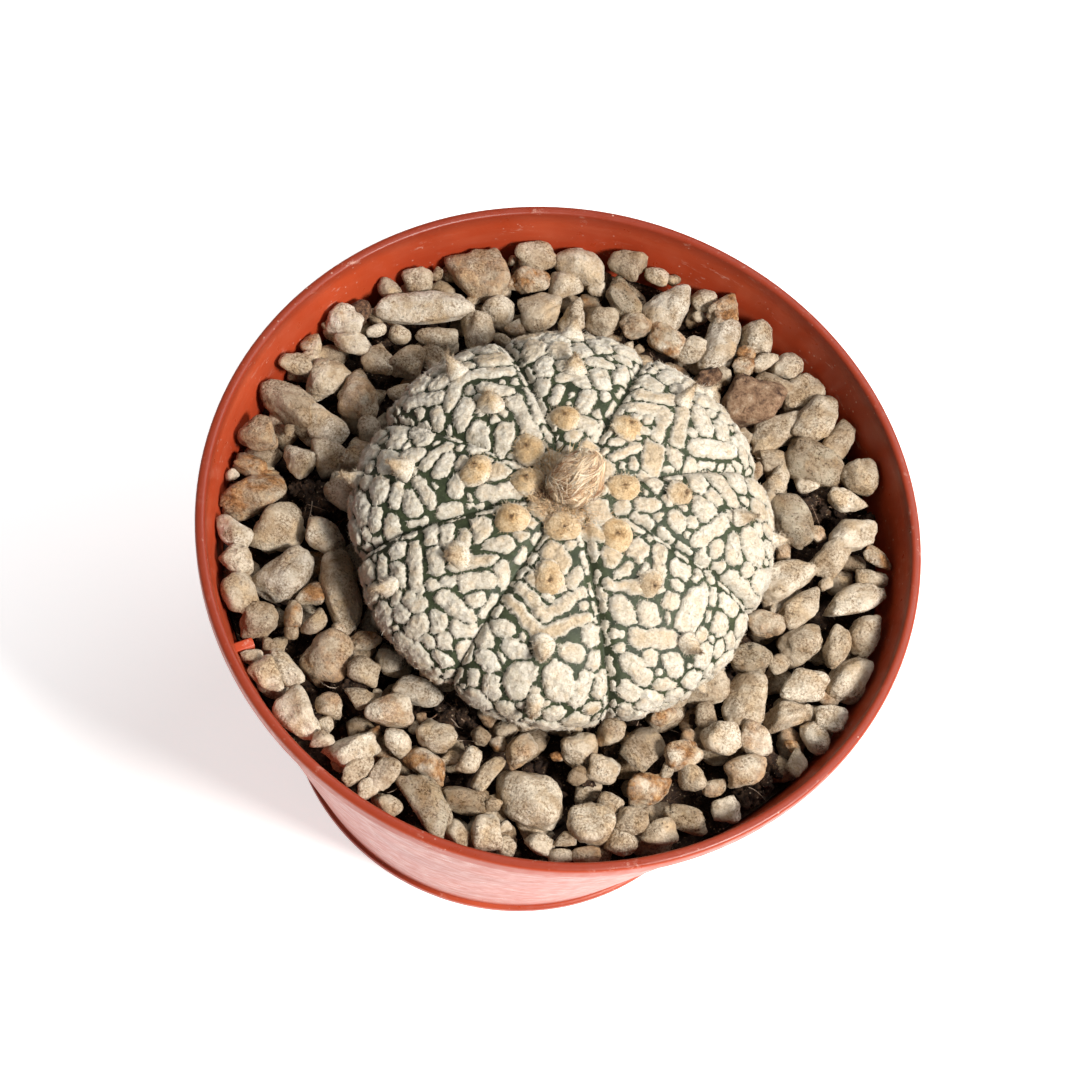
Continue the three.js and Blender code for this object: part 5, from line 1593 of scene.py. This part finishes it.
def make_stones(pumice, bark):
    """The bed of stones, as a few heaps of pumice and one of bark."""
    rng = np.random.default_rng(29)
    fine, coarse = icosphere(4), icosphere(3)
    heaps, barks = [Heap()], Heap()
    for stone in stacked(STONES) + filler_stones(rng):
        kind = stone.kind
        ball, faces = fine if stone.length > FINE_STONE and stone.drop < 3.5 else coarse
        points = place_stone(stone, ball, rng)
        # Painted shade: a stone's tone is random, but darker the lower it lies.
        tint = float(np.clip(rng.normal(0.6, 0.3) - 0.1 * stone.drop + 0.3 * (kind == PITTED), 0, 1))
        rust = RUSTINESS.get(kind, 0.55 if rng.uniform() < 0.12 else 0.0)
        if kind in (BARK, NUGGET):
            barks.add(points, faces, tint=float(kind == NUGGET))
            continue
        if heaps[-1].faces() + len(faces) > MOST_TRIANGLES:
            heaps.append(Heap())
        pale, pitted = float(kind == PALE), float(kind == PITTED)
        heaps[-1].add(points, faces, tint=tint, rust=rust, pale=pale, pitted=pitted)
    for number, heap in enumerate(heaps):
        settle(heap.piece(f"pumice_stones_{number + 1}", pumice), "pumice", "pumice_gravel")
    settle(barks.piece("bark_crumbs", bark), "pumice", "pumice_gravel")


# ------------------------------------------------------------------ floor, light and camera

# Read off the photograph: place in millimetres, directions, and the focal length in the photo's pixels.
CAMERA_PLACE = (0.0, -157.298, 409.042)
CAMERA_RIGHT = (0.96070929, 0.2544515, 0.11086975)
CAMERA_UP = (-0.27745239, 0.8694596, 0.40872996)
FOCAL_PIXELS, FRAME_PIXELS = 2200.0, 1080.0
SENSOR_WIDTH = 36.0
CLIP_RANGE = 0.01, 20

FLOOR_HALF = 3000.0
FLOOR_GLOW = 0.62

# Name, azimuth, elevation, distance and width in metres, power in watts, colour.
LIGHTS = (
    ("key", -25, 48, 0.55, 0.13, 5.1, (1.0, 0.97, 0.93)),
    ("top", 52, 52, 1.3, 0.9, 8.4, (0.98, 0.99, 1.0)),
)
SKY_COLOR, SKY_STRENGTH = (1.0, 0.99, 0.975, 1), 0.15


def make_camera():
    """The photograph's own view."""
    data = bpy.data.cameras.new("camera")
    data.sensor_width = SENSOR_WIDTH
    data.lens = SENSOR_WIDTH * FOCAL_PIXELS / FRAME_PIXELS
    data.clip_start, data.clip_end = CLIP_RANGE
    camera = bpy.data.objects.new("camera", data)
    bpy.context.scene.collection.objects.link(camera)
    right, up = Vector(CAMERA_RIGHT).normalized(), Vector(CAMERA_UP).normalized()
    turn = Matrix((right, up, right.cross(up))).transposed()
    camera.matrix_world = Matrix.Translation(Vector(CAMERA_PLACE) * MM) @ turn.to_4x4()
    bpy.context.scene.camera = camera


def make_floor():
    """White paper, lit a little from within like a studio sweep, so that shadows on it stay pale."""
    shader = Shader("floor_white", 0.9, Emission_Color=(*WHITE, 1), Emission_Strength=FLOOR_GLOW)
    white = shader.ramp(shader.noise(60, 2), (0.3, 0.9), (0.7, 0.94))
    shader.feed(white, shader.surface.inputs["Base Color"])
    low, high = -FLOOR_HALF, FLOOR_HALF
    points = [(low, low, 0), (high, low, 0), (high, high, 0), (low, high, 0)]
    make_mesh("floor", points, [[0, 1, 2], [0, 2, 3]], shader.material, smooth=False)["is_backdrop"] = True


def area_light(name, azimuth, elevation, distance, size, power, color):
    """A round light that faces the rim from a direction."""
    data = bpy.data.lights.new(name, "AREA")
    data.shape, data.size, data.energy, data.color = "DISK", size, power, color
    light = bpy.data.objects.new(name, data)
    turn, rise = math.radians(azimuth), math.radians(elevation)
    towards = Vector((math.cos(turn) * math.cos(rise), math.sin(turn) * math.cos(rise), math.sin(rise)))
    light.location = Vector((0, 0, RIM_HEIGHT * MM)) + towards * distance
    light.rotation_euler = towards.to_track_quat("Z", "Y").to_euler()
    bpy.context.scene.collection.objects.link(light)


def make_light():
    world = bpy.data.worlds.new("studio")
    world.use_nodes = True
    sky = world.node_tree.nodes["Background"].inputs
    sky["Color"].default_value, sky["Strength"].default_value = SKY_COLOR, SKY_STRENGTH
    bpy.context.scene.world = world
    for light in LIGHTS:
        area_light(*light)
    bpy.context.scene.view_settings.view_transform = "Standard"


# ------------------------------------------------------------------ the scene

TAN = ((0.36, 0.18, 0.09), (0.88, 0.63, 0.38), (1.0, 0.9, 0.7))
RUSSET = ((0.12, 0.035, 0.012), (0.6, 0.36, 0.17), (0.9, 0.7, 0.44))
ROOT_BROWN = ((0.1, 0.05, 0.03), (0.3, 0.17, 0.1), (0.62, 0.48, 0.36))

make_camera()
make_light()
make_floor()

plastic = pot_plastic()
make_pot(plastic)
make_lug(plastic)
mix = mix_material()
make_mix(mix)
make_crumbs(mix, hair_material("rootlet_fibre", *ROOT_BROWN))
make_stones(pumice_material(), bark_material())
make_skin(skin_material())
make_felt(felt_material())
make_areoles(areole_material("areole_wool"), areole_material("areole_hair"))
bud_core, bud_hair = hair_material("bud_core", *TAN), hair_material("bud_hair", *TAN)
make_bud(bud_core, bud_hair, hair_material("bud_foot", *RUSSET))

boxes = {"cad": CAD_BOUNDS, "visual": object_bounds()}
{name: [list(corner) for corner in box] for name, box in boxes.items()}
